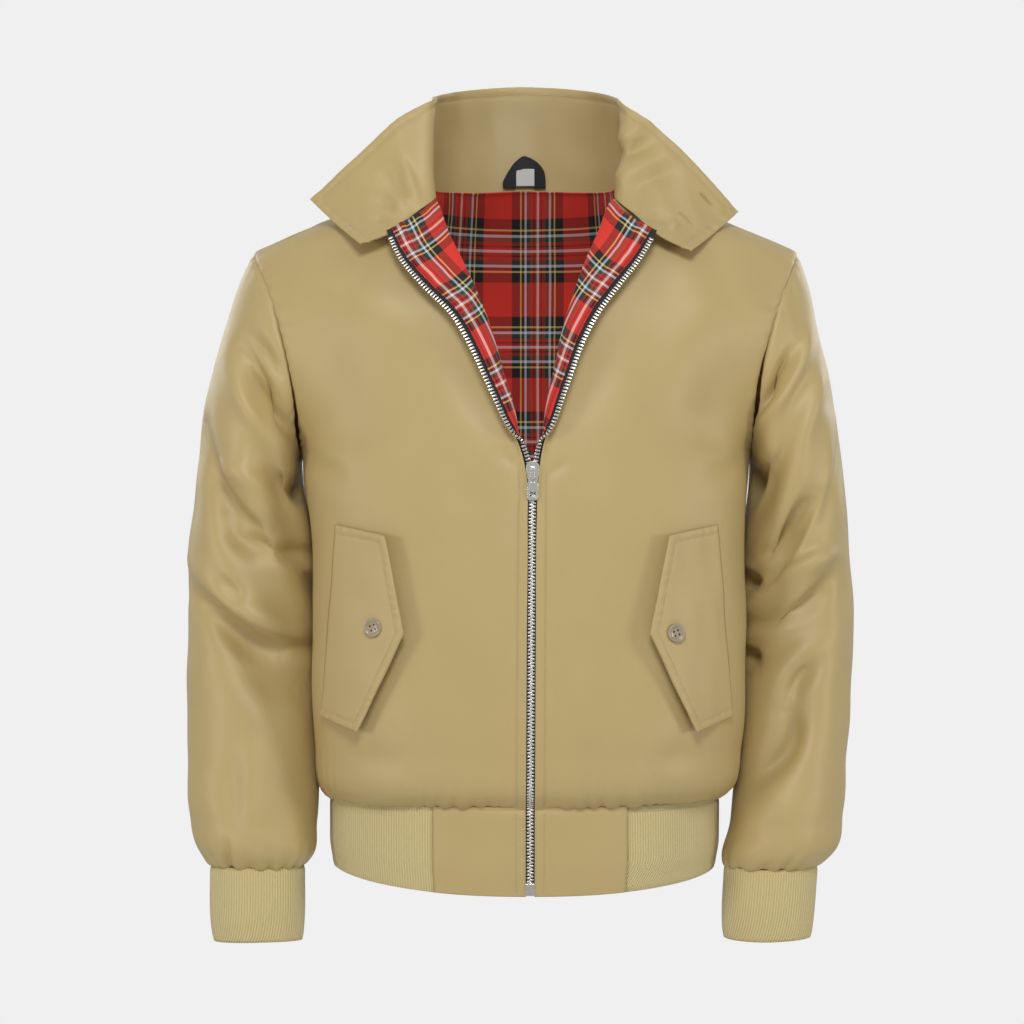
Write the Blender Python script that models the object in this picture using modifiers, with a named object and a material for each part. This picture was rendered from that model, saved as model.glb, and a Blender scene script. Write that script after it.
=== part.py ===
"""A harrington jacket, hollow as it is when it is worn: its cut pieces of cloth, its knitted ribs, its
tartan lining where that shows, its buttons and its metal zip.

Metres, +Z up, the front faces -Y. The origin is the middle of the neck at the height of the nape seam,
where the shoulders carry the jacket. Left and right are the wearer's, so the right side is at -X.
"""

import math

import bmesh
import bpy
import numpy as np
from mathutils import Matrix, Vector

# ---------------------------------------------------------------- driving dimensions
SHELL = 0.0012  # thickness of the woven shell
LINING = 0.0010
DOUBLED = 0.0024  # two layers of shell sewn together, for flaps and hem tabs
COLLAR_THICK = 0.0020
RIB = 0.0022  # knitted hem and cuffs
SEAM = 0.0003  # gap kept at a seam
LAYER = 0.0004  # gap kept between two layers

NECK_HALF = 0.086  # half the width of the neck at the shoulder seams
SHOULDER_HALF = 0.244  # middle of the neck to the shoulder tip
SHOULDER_DROP = 0.067
CROWN = 0.005  # how much the shoulder seam curves up
ARMPIT_HALF = 0.196
ARMPIT_DROP = 0.246
ARM_Y = 0.005  # the armhole's middle, front to back
ARMHOLE_FRONT = 0.075  # how far the armhole reaches forwards and backwards
ARMHOLE_BACK = 0.070
ARMHOLE_BOW = 0.0125  # how far its sides bow towards the chest
ARMPIT_UP = 0.52  # the armpit's place on a panel, from 0 at the hem to 1 at the shoulder
LAPEL_UP = 0.94  # where the roll of the turned front meets the neck
SLIDER_UP = 0.50
TURN_UP = 0.525  # the front begins to turn out just above the slider

BAND_TOP, BAND_BOTTOM = -0.553, -0.625  # the hem band
BAND_AXIS = 0.0045  # the zip hangs a little to the wearer's left of the middle
BAND_HALF, BAND_FRONT, BAND_BACK = 0.173, -0.1182, 0.098
TAB_REACH = 0.0835  # woven front tab of the band, from the zip
EDGE_HALF = 0.0060  # from the zip's middle to each finished front edge
TAPE = 0.0010
TAPE_TUCK = 0.0050  # how far the tape is sewn in under the edge
TAPE_REST = 0.0006  # between the zip's middle and the edge of each tape

BUTTON_R, BUTTON_H = 0.0080, 0.0028
COLLAR_BUTTON_R, COLLAR_BUTTON_H = 0.0070, 0.0024

SIDES = {"right": -1, "left": 1}


def table(columns, *rows):
    """A short table with named columns."""
    return dict(zip(columns.split(), np.array(rows, float).T))


def read(tab, column, at):
    """The smooth curve through a column, read at these values of the table's first column."""
    x, y = next(iter(tab.values())), tab[column]
    at = np.clip(np.asarray(at, float), x[0], x[-1])
    slope = np.gradient(y, x)
    i = np.clip(np.searchsorted(x, at, side="right") - 1, 0, len(x) - 2)
    step = x[i + 1] - x[i]
    t = (at - x[i]) / step
    a, b = slope[i] * step, slope[i + 1] * step
    rise = y[i + 1] - y[i]
    return y[i] + t * a + t * t * (3 * rise - 2 * a - b) + t**3 * (a + b - 2 * rise)


def ease(t):
    t = np.clip(t, 0, 1)
    return t * t * (3 - 2 * t)


# The inner edge of each front: straight beside the zip, then the roll of the turned front, then the neck.
FRONT_EDGE = table(
    "up half axis y z",
    (0.00, 0.0120, 0.0045, -0.118, BAND_TOP),
    (0.03, 0.0120, 0.0046, -0.130, -0.540),
    (0.09, 0.0120, 0.0048, -0.135, -0.505),
    (0.25, 0.0120, 0.0053, -0.136, -0.410),
    (0.41, 0.0120, 0.0060, -0.134, -0.310),
    (SLIDER_UP, 0.0122, 0.0064, -0.1320, -0.266),
    (0.58, 0.0180, 0.0045, -0.1275, -0.215),
    (0.64, 0.0262, 0.0030, -0.1225, -0.178),
    (0.70, 0.0345, 0.0018, -0.1165, -0.145),
    (0.76, 0.0450, 0.0008, -0.1090, -0.115),
    (0.82, 0.0570, -0.0005, -0.0965, -0.086),
    (0.88, 0.0705, -0.0008, -0.0800, -0.055),
    (LAPEL_UP, 0.0795, -0.0004, -0.0620, -0.0268),
    (1.00, NECK_HALF, 0.0000, 0.0050, -0.008),
)
# The finished edge with the zip: beside the zip's middle, and above the slider turned out over the chest.
ZIP_EDGE = table(
    "up half y z",
    (0.00, EDGE_HALF, -0.118, BAND_TOP),
    (0.03, EDGE_HALF, -0.130, -0.540),
    (0.09, EDGE_HALF, -0.135, -0.505),
    (0.25, EDGE_HALF, -0.136, -0.410),
    (0.41, EDGE_HALF, -0.134, -0.310),
    (SLIDER_UP, EDGE_HALF, -0.1325, -0.266),
    (0.535, 0.0088, -0.1330, -0.248),
    (0.58, 0.0178, -0.1362, -0.219),
    (0.64, 0.0300, -0.1345, -0.186),
    (0.70, 0.0415, -0.1300, -0.156),
    (0.76, 0.0555, -0.1240, -0.130),
    (0.82, 0.0735, -0.1150, -0.107),
    (0.88, 0.0925, -0.1035, -0.083),
    (LAPEL_UP, 0.1095, -0.0905, -0.060),
)
SIDE_SEAM = table(
    "up half axis y z",
    (0.00, 0.1730, 0.0000, 0.000, BAND_TOP),
    (0.03, 0.1820, 0.0040, 0.000, -0.541),
    (0.09, 0.1865, 0.0060, 0.000, -0.505),
    (0.25, 0.1885, 0.0070, 0.000, -0.410),
    (0.41, 0.1885, 0.0060, 0.001, -0.310),
    (ARMPIT_UP, ARMPIT_HALF, 0.0010, ARM_Y, -ARMPIT_DROP),
)
BACK_MIDDLE = table(
    "up y z",
    (0.00, 0.098, BAND_TOP),
    (0.03, 0.110, -0.541),
    (0.09, 0.114, -0.505),
    (0.25, 0.113, -0.410),
    (0.41, 0.114, -0.310),
    (0.52, 0.117, -0.240),
    (0.64, 0.119, -0.170),
    (0.76, 0.117, -0.115),
    (0.88, 0.107, -0.055),
    (1.00, 0.082, 0.000),
)
# How far a row of a panel turns round the body, in degrees, and how square its corner is (2 is round).
ROW_SHAPE = table(
    "up wrap front_square back_square",
    (0.00, 90, 2.5, 2.3),
    (0.09, 90, 2.9, 2.5),
    (0.41, 90, 2.9, 2.5),
    (0.52, 88, 2.6, 2.3),
    (0.64, 66, 2.3, 2.1),
    (0.76, 52, 2.1, 2.0),
    (0.88, 42, 2.0, 2.0),
    (1.00, 30, 2.0, 2.0),
)
# Each sleeve as rings: the ring's outermost and innermost points, its middle and its half depth.
SLEEVE = {
    "right": table(
        "down outer_x outer_z inner_x inner_z y deep",
        (0.00, -0.2430, -0.0670, -0.1950, -0.2460, 0.005, 0.0725),
        (0.05, -0.2535, -0.0910, -0.1995, -0.2580, 0.004, 0.0740),
        (0.12, -0.2655, -0.1270, -0.2000, -0.2780, 0.003, 0.0755),
        (0.21, -0.2790, -0.1720, -0.1970, -0.3020, 0.002, 0.0755),
        (0.30, -0.2895, -0.2190, -0.1930, -0.3310, 0.002, 0.0750),
        (0.42, -0.2960, -0.2890, -0.1890, -0.3670, 0.004, 0.0730),
        (0.52, -0.3025, -0.3430, -0.1875, -0.4020, 0.005, 0.0700),
        (0.62, -0.3015, -0.3950, -0.1870, -0.4400, 0.003, 0.0670),
        (0.72, -0.3015, -0.4510, -0.1865, -0.4820, -0.004, 0.0630),
        (0.84, -0.3000, -0.5150, -0.1855, -0.5320, -0.014, 0.0590),
        (0.93, -0.2970, -0.5650, -0.1860, -0.5760, -0.023, 0.0550),
        (0.98, -0.2905, -0.6010, -0.1895, -0.6060, -0.030, 0.0450),
        (1.00, -0.2815, -0.6165, -0.1995, -0.6165, -0.033, 0.0311),
    ),
    "left": table(
        "down outer_x outer_z inner_x inner_z y deep",
        (0.00, 0.2450, -0.0670, 0.1970, -0.2460, 0.005, 0.0725),
        (0.05, 0.2547, -0.0910, 0.2015, -0.2580, 0.004, 0.0740),
        (0.12, 0.2640, -0.1270, 0.2030, -0.2780, 0.003, 0.0755),
        (0.21, 0.2740, -0.1720, 0.2030, -0.3020, 0.002, 0.0755),
        (0.30, 0.2820, -0.2190, 0.2015, -0.3310, 0.002, 0.0750),
        (0.42, 0.2915, -0.2890, 0.2005, -0.3670, 0.004, 0.0730),
        (0.52, 0.2950, -0.3430, 0.2005, -0.4020, 0.005, 0.0700),
        (0.62, 0.2955, -0.3950, 0.2000, -0.4400, 0.003, 0.0670),
        (0.72, 0.2925, -0.4510, 0.1980, -0.4820, -0.004, 0.0630),
        (0.84, 0.2870, -0.5150, 0.1935, -0.5320, -0.014, 0.0590),
        (0.93, 0.2825, -0.5650, 0.1840, -0.5760, -0.023, 0.0550),
        (0.98, 0.2760, -0.6040, 0.1785, -0.6085, -0.030, 0.0450),
        (1.00, 0.2630, -0.6195, 0.1820, -0.6195, -0.033, 0.0311),
    ),
}
CUFF = {  # each cuff's middle and half width, at its top and its bottom
    "right": table(
        "z x y wide deep",
        (-0.6830, -0.2395, -0.040, 0.0385, 0.0260),
        (-0.6700, -0.2400, -0.039, 0.0400, 0.0285),
        (-0.6165, -0.2405, -0.033, 0.0410, 0.0310),
    ),
    "left": table(
        "z x y wide deep",
        (-0.6830, 0.2185, -0.040, 0.0375, 0.0260),
        (-0.6700, 0.2190, -0.039, 0.0390, 0.0285),
        (-0.6195, 0.2225, -0.033, 0.0405, 0.0310),
    ),
}
# The largest folds: each runs along a sleeve from (down, turn) to (down, turn), with turn in degrees from
# the outer edge towards the front; depth is inwards.
FOLDS = {
    "right": table(
        "down_a turn_a down_b turn_b depth width",
        (0.16, 95, 0.40, 150, 0.012, 0.055),
        (0.30, 35, 0.56, 140, 0.010, 0.060),
        (0.55, 20, 0.66, 150, 0.011, 0.050),
        (0.40, 150, 0.48, 185, 0.008, 0.045),
        (0.30, 230, 0.56, 300, 0.009, 0.060),
        (0.56, 215, 0.66, 320, 0.009, 0.050),
    ),
    "left": table(
        "down_a turn_a down_b turn_b depth width",
        (0.14, 85, 0.30, 150, 0.010, 0.050),
        (0.32, 50, 0.52, 140, 0.012, 0.055),
        (0.56, 45, 0.62, 150, 0.011, 0.050),
        (0.66, 80, 0.86, 125, 0.009, 0.050),
        (0.30, 230, 0.54, 300, 0.009, 0.060),
        (0.58, 215, 0.68, 320, 0.009, 0.050),
    ),
}
# The collar at stations round the neck, from its right end over the nape to its left end: its foot, its
# top edge, and how much it bows out between them.
COLLAR = table(
    "along foot_x foot_y foot_z top_x top_y top_z",
    (0.00, -0.1420, -0.0940, -0.0690, -0.1890, -0.0390, -0.0240),
    (0.09, -0.1134, -0.0930, -0.0585, -0.1520, -0.0450, 0.0090),
    (0.17, -0.0960, -0.0805, -0.0420, -0.1120, -0.0470, 0.0450),
    (0.25, -0.0785, -0.0620, -0.0250, -0.0790, -0.0410, 0.0680),
    (0.33, -0.0865, 0.0000, -0.0060, -0.0805, 0.0300, 0.0825),
    (0.41, -0.0670, 0.0570, -0.0020, -0.0610, 0.0860, 0.0960),
    (0.50, 0.0000, 0.0820, 0.0020, 0.0000, 0.1060, 0.1030),
    (0.59, 0.0670, 0.0570, -0.0020, 0.0620, 0.0860, 0.0960),
    (0.67, 0.0865, 0.0000, -0.0060, 0.0830, 0.0300, 0.0810),
    (0.75, 0.0800, -0.0620, -0.0255, 0.0860, -0.0410, 0.0630),
    (0.83, 0.0965, -0.0805, -0.0430, 0.1170, -0.0470, 0.0380),
    (0.91, 0.1140, -0.0930, -0.0605, 0.1540, -0.0450, 0.0020),
    (1.00, 0.1435, -0.0940, -0.0750, 0.1885, -0.0390, -0.0350),
)
COLLAR_BOW = 0.003
COLLAR_BUTTONS = ((-0.1539, -0.0124), (-0.1408, -0.0317))  # under the right wing's tip
# A pocket flap, from its top to its bottom: its sewn edge and its free edge, from the body's middle.
FLAP = table(
    "down sewn_half sewn_z free_half free_z",
    (0.00, 0.1625, -0.3110, 0.1160, -0.3205),
    (0.50, 0.1690, -0.3950, 0.1010, -0.4030),
    (1.00, 0.1755, -0.4760, 0.1380, -0.4860),
)
FLAP_AXIS = 0.0018
FLAP_LIFT = 0.0045  # the free edge stands off the panel
FLAP_GAP = {"right": 0.0014, "left": 0.0008}
BUTTON_ACROSS = 0.71  # the flap button's place, from the sewn edge to the free edge


# ---------------------------------------------------------------- the form of each piece
def quarter(turn, wrap, square):
    """(across, round) of a rounded corner, both from 0 to 1, as turn goes from 0 to 1."""
    angle, last = turn * np.radians(wrap), np.radians(wrap)
    across = np.sin(angle) ** (2 / square) / np.sin(last) ** (2 / square)
    depth = 1 - np.maximum(np.cos(angle), 0) ** (2 / square)
    return across, depth / (1 - max(np.cos(last), 0) ** (2 / square))


def side_edge(up, side, back):
    """The side seam, and above the armpit the armhole's front or back edge."""
    sign = SIDES[side]
    if up <= ARMPIT_UP:
        half, axis, y, z = (read(SIDE_SEAM, c, up) for c in ("half", "axis", "y", "z"))
        return np.array([axis + sign * half, y, z])
    turn = math.pi * (1 - (up - ARMPIT_UP) / (1 - ARMPIT_UP))
    return sleeve_ring(side, 0.0, np.array([-turn if back else turn]))[0]


def sleeve_ring(side, down, turn):
    """Points of a sleeve's ring: turn is 0 at its outer edge, and a quarter turn is its front."""
    tab = SLEEVE[side]
    names = ("outer_x", "outer_z", "inner_x", "inner_z", "y", "deep")
    outer_x, outer_z, inner_x, inner_z, y, deep = (read(tab, c, down) for c in names)
    armhole = ease(1 - down / 0.25)
    front = deep + (ARMHOLE_FRONT - deep) * armhole
    back = deep + (ARMHOLE_BACK - deep) * armhole
    cos, sin = np.cos(turn), np.sin(turn)
    bow = -SIDES[side] * ARMHOLE_BOW * armhole * sin**2
    x = (outer_x + inner_x) / 2 + (outer_x - inner_x) / 2 * cos + bow
    z = (outer_z + inner_z) / 2 + (outer_z - inner_z) / 2 * cos
    return np.stack([x, y - np.where(sin > 0, front, back) * sin, z], axis=-1)


def row_between(middle, edge, up, square, across):
    """A row of a panel from its middle point round to its side edge, evenly spaced along the cloth."""
    dense = np.linspace(0, 1, 81)
    wrap = float(read(ROW_SHAPE, "wrap", up))
    over, round_it = quarter(dense, wrap, float(read(ROW_SHAPE, square, up)))
    x = middle[0] + (edge[0] - middle[0]) * over
    y = middle[1] + (edge[1] - middle[1]) * round_it
    z = middle[2] + (edge[2] - middle[2]) * over
    points = np.stack([x, y, z], axis=-1)
    length = np.concatenate([[0], np.cumsum(np.linalg.norm(np.diff(points, axis=0), axis=1))])
    at = np.asarray(across) * length[-1]
    return np.stack([np.interp(at, length, points[:, k]) for k in range(3)], axis=-1)


def front_row(side, up, across):
    half, axis, y, z = (read(FRONT_EDGE, c, up) for c in ("half", "axis", "y", "z"))
    middle = np.array([axis + SIDES[side] * half, y, z])
    row = row_between(middle, side_edge(up, side, False), up, "front_square", across)
    row[:, 2] += CROWN * ease((up - 0.80) / 0.20) * np.sin(math.pi * np.asarray(across))
    return row


def front_grid(side, ups, across):
    return np.array([front_row(side, up, across) for up in ups])


def lapel_grid(side, ups, outs):
    """The strip beside the zip, which turns out over the chest above the slider. outs is 0 at the front
    panel's inner edge and 1 at the finished edge; past 1 it runs straight on."""
    rows = []
    for up, outs in zip(ups, np.broadcast_to(outs, (len(ups), np.shape(outs)[-1]))):
        start, next_in = front_row(side, up, [0.0, 0.02])
        towards = (start - next_in) / np.linalg.norm(start - next_in)
        axis = float(read(FRONT_EDGE, "axis", up))
        half, y, z = (float(read(ZIP_EDGE, c, up)) for c in ("half", "y", "z"))
        tip = np.array([axis + SIDES[side] * half, y, z])
        chord = np.linalg.norm(tip - start)
        turned = float(ease((up - TURN_UP) / 0.07))
        reach = chord / 3 * (1 - turned) + min(chord / 3, 0.011) * turned
        outward = np.array([SIDES[side] * 0.9, -0.10, -0.35])
        forward = towards * (1 - turned) + outward / np.linalg.norm(outward) * turned
        pull = tip - forward * chord / 3
        t = np.clip(outs, 0, 1)[:, None]
        line = (1 - t) ** 3 * start + 3 * (1 - t) ** 2 * t * (start + towards * reach)
        line = line + 3 * (1 - t) * t * t * pull + t**3 * tip
        past = np.maximum(outs - 1, 0)[:, None] * chord
        rows.append(line + past * forward / np.linalg.norm(forward))
    return np.array(rows)


def back_grid(ups, across):
    """The back, with across from -1 at the right side to 1 at the left."""
    neck = 0.43  # share of the top row that is neck
    rows = []
    for up in ups:
        middle = np.array([0.0, *(read(BACK_MIDDLE, c, up) for c in ("y", "z"))])
        row = np.empty((len(across), 3))
        for side, sign in SIDES.items():
            chosen = across * sign >= 0
            shares = np.abs(across[chosen])
            edge = side_edge(up, side, True)
            points = row_between(middle, edge, up, "back_square", shares)
            top_edge = side_edge(1.0, side, True)
            top = row_between(np.array([0, 0.082, 0.0]), top_edge, 1.0, "back_square", shares)
            turn = np.clip(shares / neck, 0, 1) * math.pi / 2
            neckline = np.stack(
                [sign * NECK_HALF * np.sin(turn), 0.005 + 0.077 * np.cos(turn), -0.008 * np.sin(turn) ** 2],
                axis=-1,
            )
            out = np.clip((shares - neck) / (1 - neck), 0, 1)[:, None]
            crown = CROWN * np.sin(math.pi * out) * np.array([0, 0, 1.0])
            ridge = neckline + out * (top_edge - neckline) + crown
            row[chosen] = points + ease((up - 0.80) / 0.20) * (ridge - top)
        rows.append(row)
    return np.array(rows)


def fold_depth(side, down, turn):
    """How far the sleeve's folds move the cloth inwards, at one ring."""
    total = np.zeros(len(turn))
    tab = FOLDS[side]
    round_it = 0.065  # metres of cloth in one radian of turn
    along = 0.58  # metres of cloth from armhole to cuff
    degrees = np.degrees(turn) % 360
    for a_down, a_turn, b_down, b_turn, depth, width in zip(*tab.values()):
        a = np.array([a_down * along, math.radians(a_turn) * round_it])
        b = np.array([b_down * along, math.radians(b_turn) * round_it])
        p = np.stack([np.full(len(turn), down * along), np.radians(degrees) * round_it], axis=-1)
        t = np.clip(((p - a) @ (b - a)) / ((b - a) @ (b - a)), 0, 1)
        away = np.linalg.norm(p - a - t[:, None] * (b - a), axis=1) / (width / 2)
        total += depth * np.exp(-(away**2)) * (0.35 + 0.65 * np.sin(math.pi * t))
    return total * ease(down / 0.10) * ease((1 - down) / 0.06)


def sleeve_grid(side, downs, turns):
    rows = []
    for down in downs:
        ring = sleeve_ring(side, down, turns)
        middle = ring.mean(axis=0)
        inwards = middle - ring
        inwards /= np.linalg.norm(inwards, axis=1)[:, None]
        rows.append(ring + inwards * fold_depth(side, down, turns)[:, None])
    return np.array(rows)


def band_plan(side, lengths):
    """Points of the hem band's plan, this far round from the zip's middle, and its whole length to the back."""
    turn = np.linspace(0, 1, 200)
    over, round_it = quarter(turn, 90, 2.5)
    sign = SIDES[side]
    front = np.stack([BAND_AXIS + (sign * BAND_HALF - BAND_AXIS) * over, BAND_FRONT * (1 - round_it)], axis=-1)
    back = np.stack([sign * BAND_HALF * over, BAND_BACK * (1 - round_it)], axis=-1)[::-1]
    points = np.concatenate([front, back[1:]])
    length = np.concatenate([[0], np.cumsum(np.linalg.norm(np.diff(points, axis=0), axis=1))])
    if lengths is None:
        return length[-1]
    return np.stack([np.interp(lengths, length, points[:, k]) for k in range(2)], axis=-1)


def band_rows(plan, shares):
    """Rows of the hem band up from a plan; its lower edge draws in a little."""
    top = BAND_TOP - 0.0012
    rows = []
    for share in shares:
        tuck = 1 - 0.016 * float(ease((share - 0.6) / 0.4))
        z = np.full((len(plan), 1), top + (BAND_BOTTOM - top) * share)
        rows.append(np.concatenate([plan * tuck, z], axis=1))
    return np.array(rows)


def collar_grid(alongs, ups):
    """The collar, up from 0 at its foot to 1 at its top edge."""
    foot = np.stack([read(COLLAR, f"foot_{k}", alongs) for k in "xyz"], axis=-1)
    top = np.stack([read(COLLAR, f"top_{k}", alongs) for k in "xyz"], axis=-1)
    round_it = np.gradient(foot, axis=0)
    out = np.cross(top - foot, round_it)
    out /= np.linalg.norm(out, axis=-1)[:, None]
    return np.array([foot + up * (top - foot) + out * COLLAR_BOW * math.sin(math.pi * up) for up in ups])


# ---------------------------------------------------------------- making the solids
def normals(grid, closed=False):
    """Unit normals of a grid of points, by its rows and columns."""
    if closed:
        around = np.roll(grid, -1, axis=1) - np.roll(grid, 1, axis=1)
    else:
        around = np.gradient(grid, axis=1)
    up = np.gradient(grid, axis=0)
    n = np.cross(around, up)
    return n / np.maximum(np.linalg.norm(n, axis=-1), 1e-12)[..., None]


def trim(grid, first=0.0, last=0.0, bottom=0.0, top=0.0):
    """The grid with its edges drawn in by these lengths, towards its next points."""
    g = grid.copy()
    for gap, edge, inner in ((first, 0, 1), (last, -1, -2)):
        way = grid[:, inner] - grid[:, edge]
        g[:, edge] += gap * way / np.linalg.norm(way, axis=-1)[:, None]
    grid = g.copy()
    for gap, edge, inner in ((bottom, 0, 1), (top, -1, -2)):
        way = grid[inner] - grid[edge]
        g[edge] += gap * way / np.linalg.norm(way, axis=-1)[:, None]
    return g


def material(name, colour, rough, metal=0.0):
    made = bpy.data.materials.get(name) or bpy.data.materials.new(name)
    made.use_nodes = True
    shader = made.node_tree.nodes["Principled BSDF"]
    shader.inputs["Base Color"].default_value = (*colour, 1)
    shader.inputs["Roughness"].default_value = rough
    shader.inputs["Metallic"].default_value = metal
    return made


def add(name, mesh, finish):
    obj = bpy.data.objects.new(name, mesh)
    obj.data.materials.append(finish)
    PARTS.objects.link(obj)
    return obj


def cloth(name, grids, thick, finish, closed=False):
    """A wall of cloth: open grids of points, joined where they share points, with a Solidify."""
    bm = bmesh.new()
    for grid in grids:
        points = [[bm.verts.new(p) for p in row] for row in grid]
        wide = len(points[0])
        for low, high in zip(points, points[1:]):
            for i in range(wide if closed else wide - 1):
                j = (i + 1) % wide
                bm.faces.new((low[i], low[j], high[j], high[i]))
    bmesh.ops.remove_doubles(bm, verts=bm.verts, dist=1e-5)
    bmesh.ops.recalc_face_normals(bm, faces=bm.faces)
    mesh = bpy.data.meshes.new(name)
    bm.to_mesh(mesh)
    bm.free()
    mesh.shade_smooth()
    obj = add(name, mesh, finish)
    wall = obj.modifiers.new("wall", "SOLIDIFY")
    wall.thickness, wall.offset = thick, 0
    return obj


def plate(name, loops, depth, finish, matrix):
    """A flat plate: an outline and its holes in a plane of their own, filled, extruded and placed."""
    curve = bpy.data.curves.new(name, "CURVE")
    curve.dimensions, curve.fill_mode, curve.extrude = "2D", "BOTH", depth / 2
    for loop in loops:
        spline = curve.splines.new("POLY")
        spline.points.add(len(loop) - 1)
        for point, (x, y) in zip(spline.points, loop):
            point.co = (x, y, 0, 1)
        spline.use_cyclic_u = True
    obj = bpy.data.objects.new(name, curve)
    bpy.context.scene.collection.objects.link(obj)
    bpy.context.view_layer.update()
    mesh = bpy.data.meshes.new_from_object(obj.evaluated_get(bpy.context.evaluated_depsgraph_get()))
    bpy.data.objects.remove(obj)
    bm = bmesh.new()
    bm.from_mesh(mesh)
    bmesh.ops.remove_doubles(bm, verts=bm.verts, dist=1e-6)
    bmesh.ops.transform(bm, matrix=matrix, verts=bm.verts)
    bm.to_mesh(mesh)
    bm.free()
    mesh.materials.clear()
    return add(name, mesh, finish)


def circle(radius, sides, x=0.0, y=0.0):
    turns = np.arange(sides) / sides * 2 * math.pi
    return [(x + radius * math.cos(t), y + radius * math.sin(t)) for t in turns]


def facing_way(place, across, out):
    """A matrix that puts a plate's own x along across and its face towards out."""
    out = Vector(out).normalized()
    across = (Vector(across) - Vector(across).dot(out) * out).normalized()
    turn = Matrix((across, out.cross(across), out)).transposed()
    return Matrix.Translation(Vector(place)) @ turn.to_4x4()


def block(name, size, place, finish):
    bm = bmesh.new()
    bmesh.ops.create_cube(bm, size=1)
    bmesh.ops.scale(bm, vec=size, verts=bm.verts)
    bmesh.ops.translate(bm, vec=place, verts=bm.verts)
    mesh = bpy.data.meshes.new(name)
    bm.to_mesh(mesh)
    bm.free()
    return add(name, mesh, finish)


def combine(target, other, how):
    """Joins other to target, or cuts it away, and keeps other as a helper."""
    step = target.modifiers.new(how.lower(), "BOOLEAN")
    step.operation, step.object = how, other
    PARTS.objects.unlink(other)
    HELPERS.objects.link(other)
    other.hide_render = True
    other.display_type = "WIRE"


for old in list(bpy.data.objects):
    bpy.data.objects.remove(old)
PARTS = bpy.data.collections.new("harrington_jacket")
HELPERS = bpy.data.collections.new("cutters")
HELPERS.hide_render = True
bpy.context.scene.collection.children.link(PARTS)
bpy.context.scene.collection.children.link(HELPERS)

TAN = material("tan_twill", (0.47, 0.36, 0.17), 0.55)
KNIT = material("tan_rib_knit", (0.50, 0.40, 0.19), 0.85)
TARTAN = material("red_tartan", (0.45, 0.03, 0.02), 0.85)
BLACK = material("black_tape", (0.01, 0.01, 0.01), 0.8)
WHITE = material("white_label", (0.6, 0.6, 0.6), 0.7)
METAL = material("nickel", (0.7, 0.7, 0.68), 0.3, 1.0)
BUTTON = material("beige_button", (0.30, 0.23, 0.14), 0.4)


# ---------------------------------------------------------------- fronts, linings and zip tapes
UPS = np.array([0, 0.015, 0.04, 0.11, 0.25, 0.40, 0.50, 0.53, 0.555, 0.585, 0.63, 0.69, 0.76, 0.83, 0.89, 0.94, 1.0])
LAPEL_UPS = UPS[UPS <= LAPEL_UP]
FRONT_ACROSS = np.array([0, 0.12, 0.29, 0.46, 0.62, 0.77, 0.90, 1.0])
LAPEL_OUTS = np.array([0, 0.08, 0.17, 0.28, 0.45, 0.72, 1.0])
TAPE_IN = SHELL / 2 + LAYER + TAPE / 2  # from the shell's middle to the tape's middle
LINING_IN = SHELL / 2 + LAYER + TAPE + LAYER + LINING / 2
TAB_OUT = TAPE / 2 + LAYER + DOUBLED / 2  # from the tape's middle to the hem tab's middle
ZIP_Y = BAND_FRONT + TAB_OUT + LAYER  # the tape's depth beside the hem tabs


def front_surfaces(side, ups, across, outs):
    """The panel and the turned strip of one front, each with its outward normals, alike where they join."""
    lapel_ups = ups[ups <= LAPEL_UP]
    panel, lapel = front_grid(side, ups, across), lapel_grid(side, lapel_ups, outs)
    panel_out, lapel_out = normals(panel) * SIDES[side], -normals(lapel) * SIDES[side]
    shared = panel_out[: len(lapel_ups), 0] + lapel_out[:, 0]
    shared /= np.linalg.norm(shared, axis=-1)[:, None]
    panel_out[: len(lapel_ups), 0] = shared
    lapel_out[:, 0] = shared
    return panel, panel_out, lapel, lapel_out


def make_front(side):
    panel, panel_out, lapel, lapel_out = front_surfaces(side, UPS, FRONT_ACROSS, LAPEL_OUTS)
    shell = trim(panel, last=0.0014, bottom=0.0006, top=0.0008)
    strip = trim(lapel, bottom=0.0006)
    shell[: len(LAPEL_UPS), 0] = strip[:, 0]
    cloth(f"front_{side}", [shell, strip], SHELL, TAN)

    lining = trim(panel - panel_out * LINING_IN, last=0.004, bottom=0.0012, top=0.003)
    facing = trim(lapel - lapel_out * LINING_IN, last=0.0005, bottom=0.0012)
    lining[: len(LAPEL_UPS), 0] = facing[:, 0]
    coarse = lining[:, [0, 1, 3, 5, 7]]
    cloth(f"lining_front_{side}", [coarse, facing], LINING, TARTAN)

    width = np.linalg.norm(lapel[:, -1] - lapel[:, -2], axis=-1)[:, None]
    beyond = lapel[:, -1] + (lapel[:, -1] - lapel[:, -2]) / width * (EDGE_HALF - TAPE_REST)
    tucked = lapel[:, -1] * 0.6 + lapel[:, -2] * 0.4
    tape = np.stack([tucked, lapel[:, -1], beyond], axis=1) - lapel_out[:, [-1, -1, -1]] * TAPE_IN
    axis = read(FRONT_EDGE, "axis", LAPEL_UPS)
    tape[:, 2, 0] = axis + SIDES[side] * np.maximum((tape[:, 2, 0] - axis) * SIDES[side], TAPE_REST)
    plan = np.array([[BAND_AXIS + SIDES[side] * x, ZIP_Y] for x in (EDGE_HALF * 1.28, EDGE_HALF, TAPE_REST)])
    tape = np.concatenate([band_rows(plan, (0.82, 0.4, 0.06)), trim(tape, top=0.004)])
    cloth(f"zip_tape_{side}", [tape], TAPE, BLACK)


for SIDE in SIDES:
    make_front(SIDE)

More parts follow.
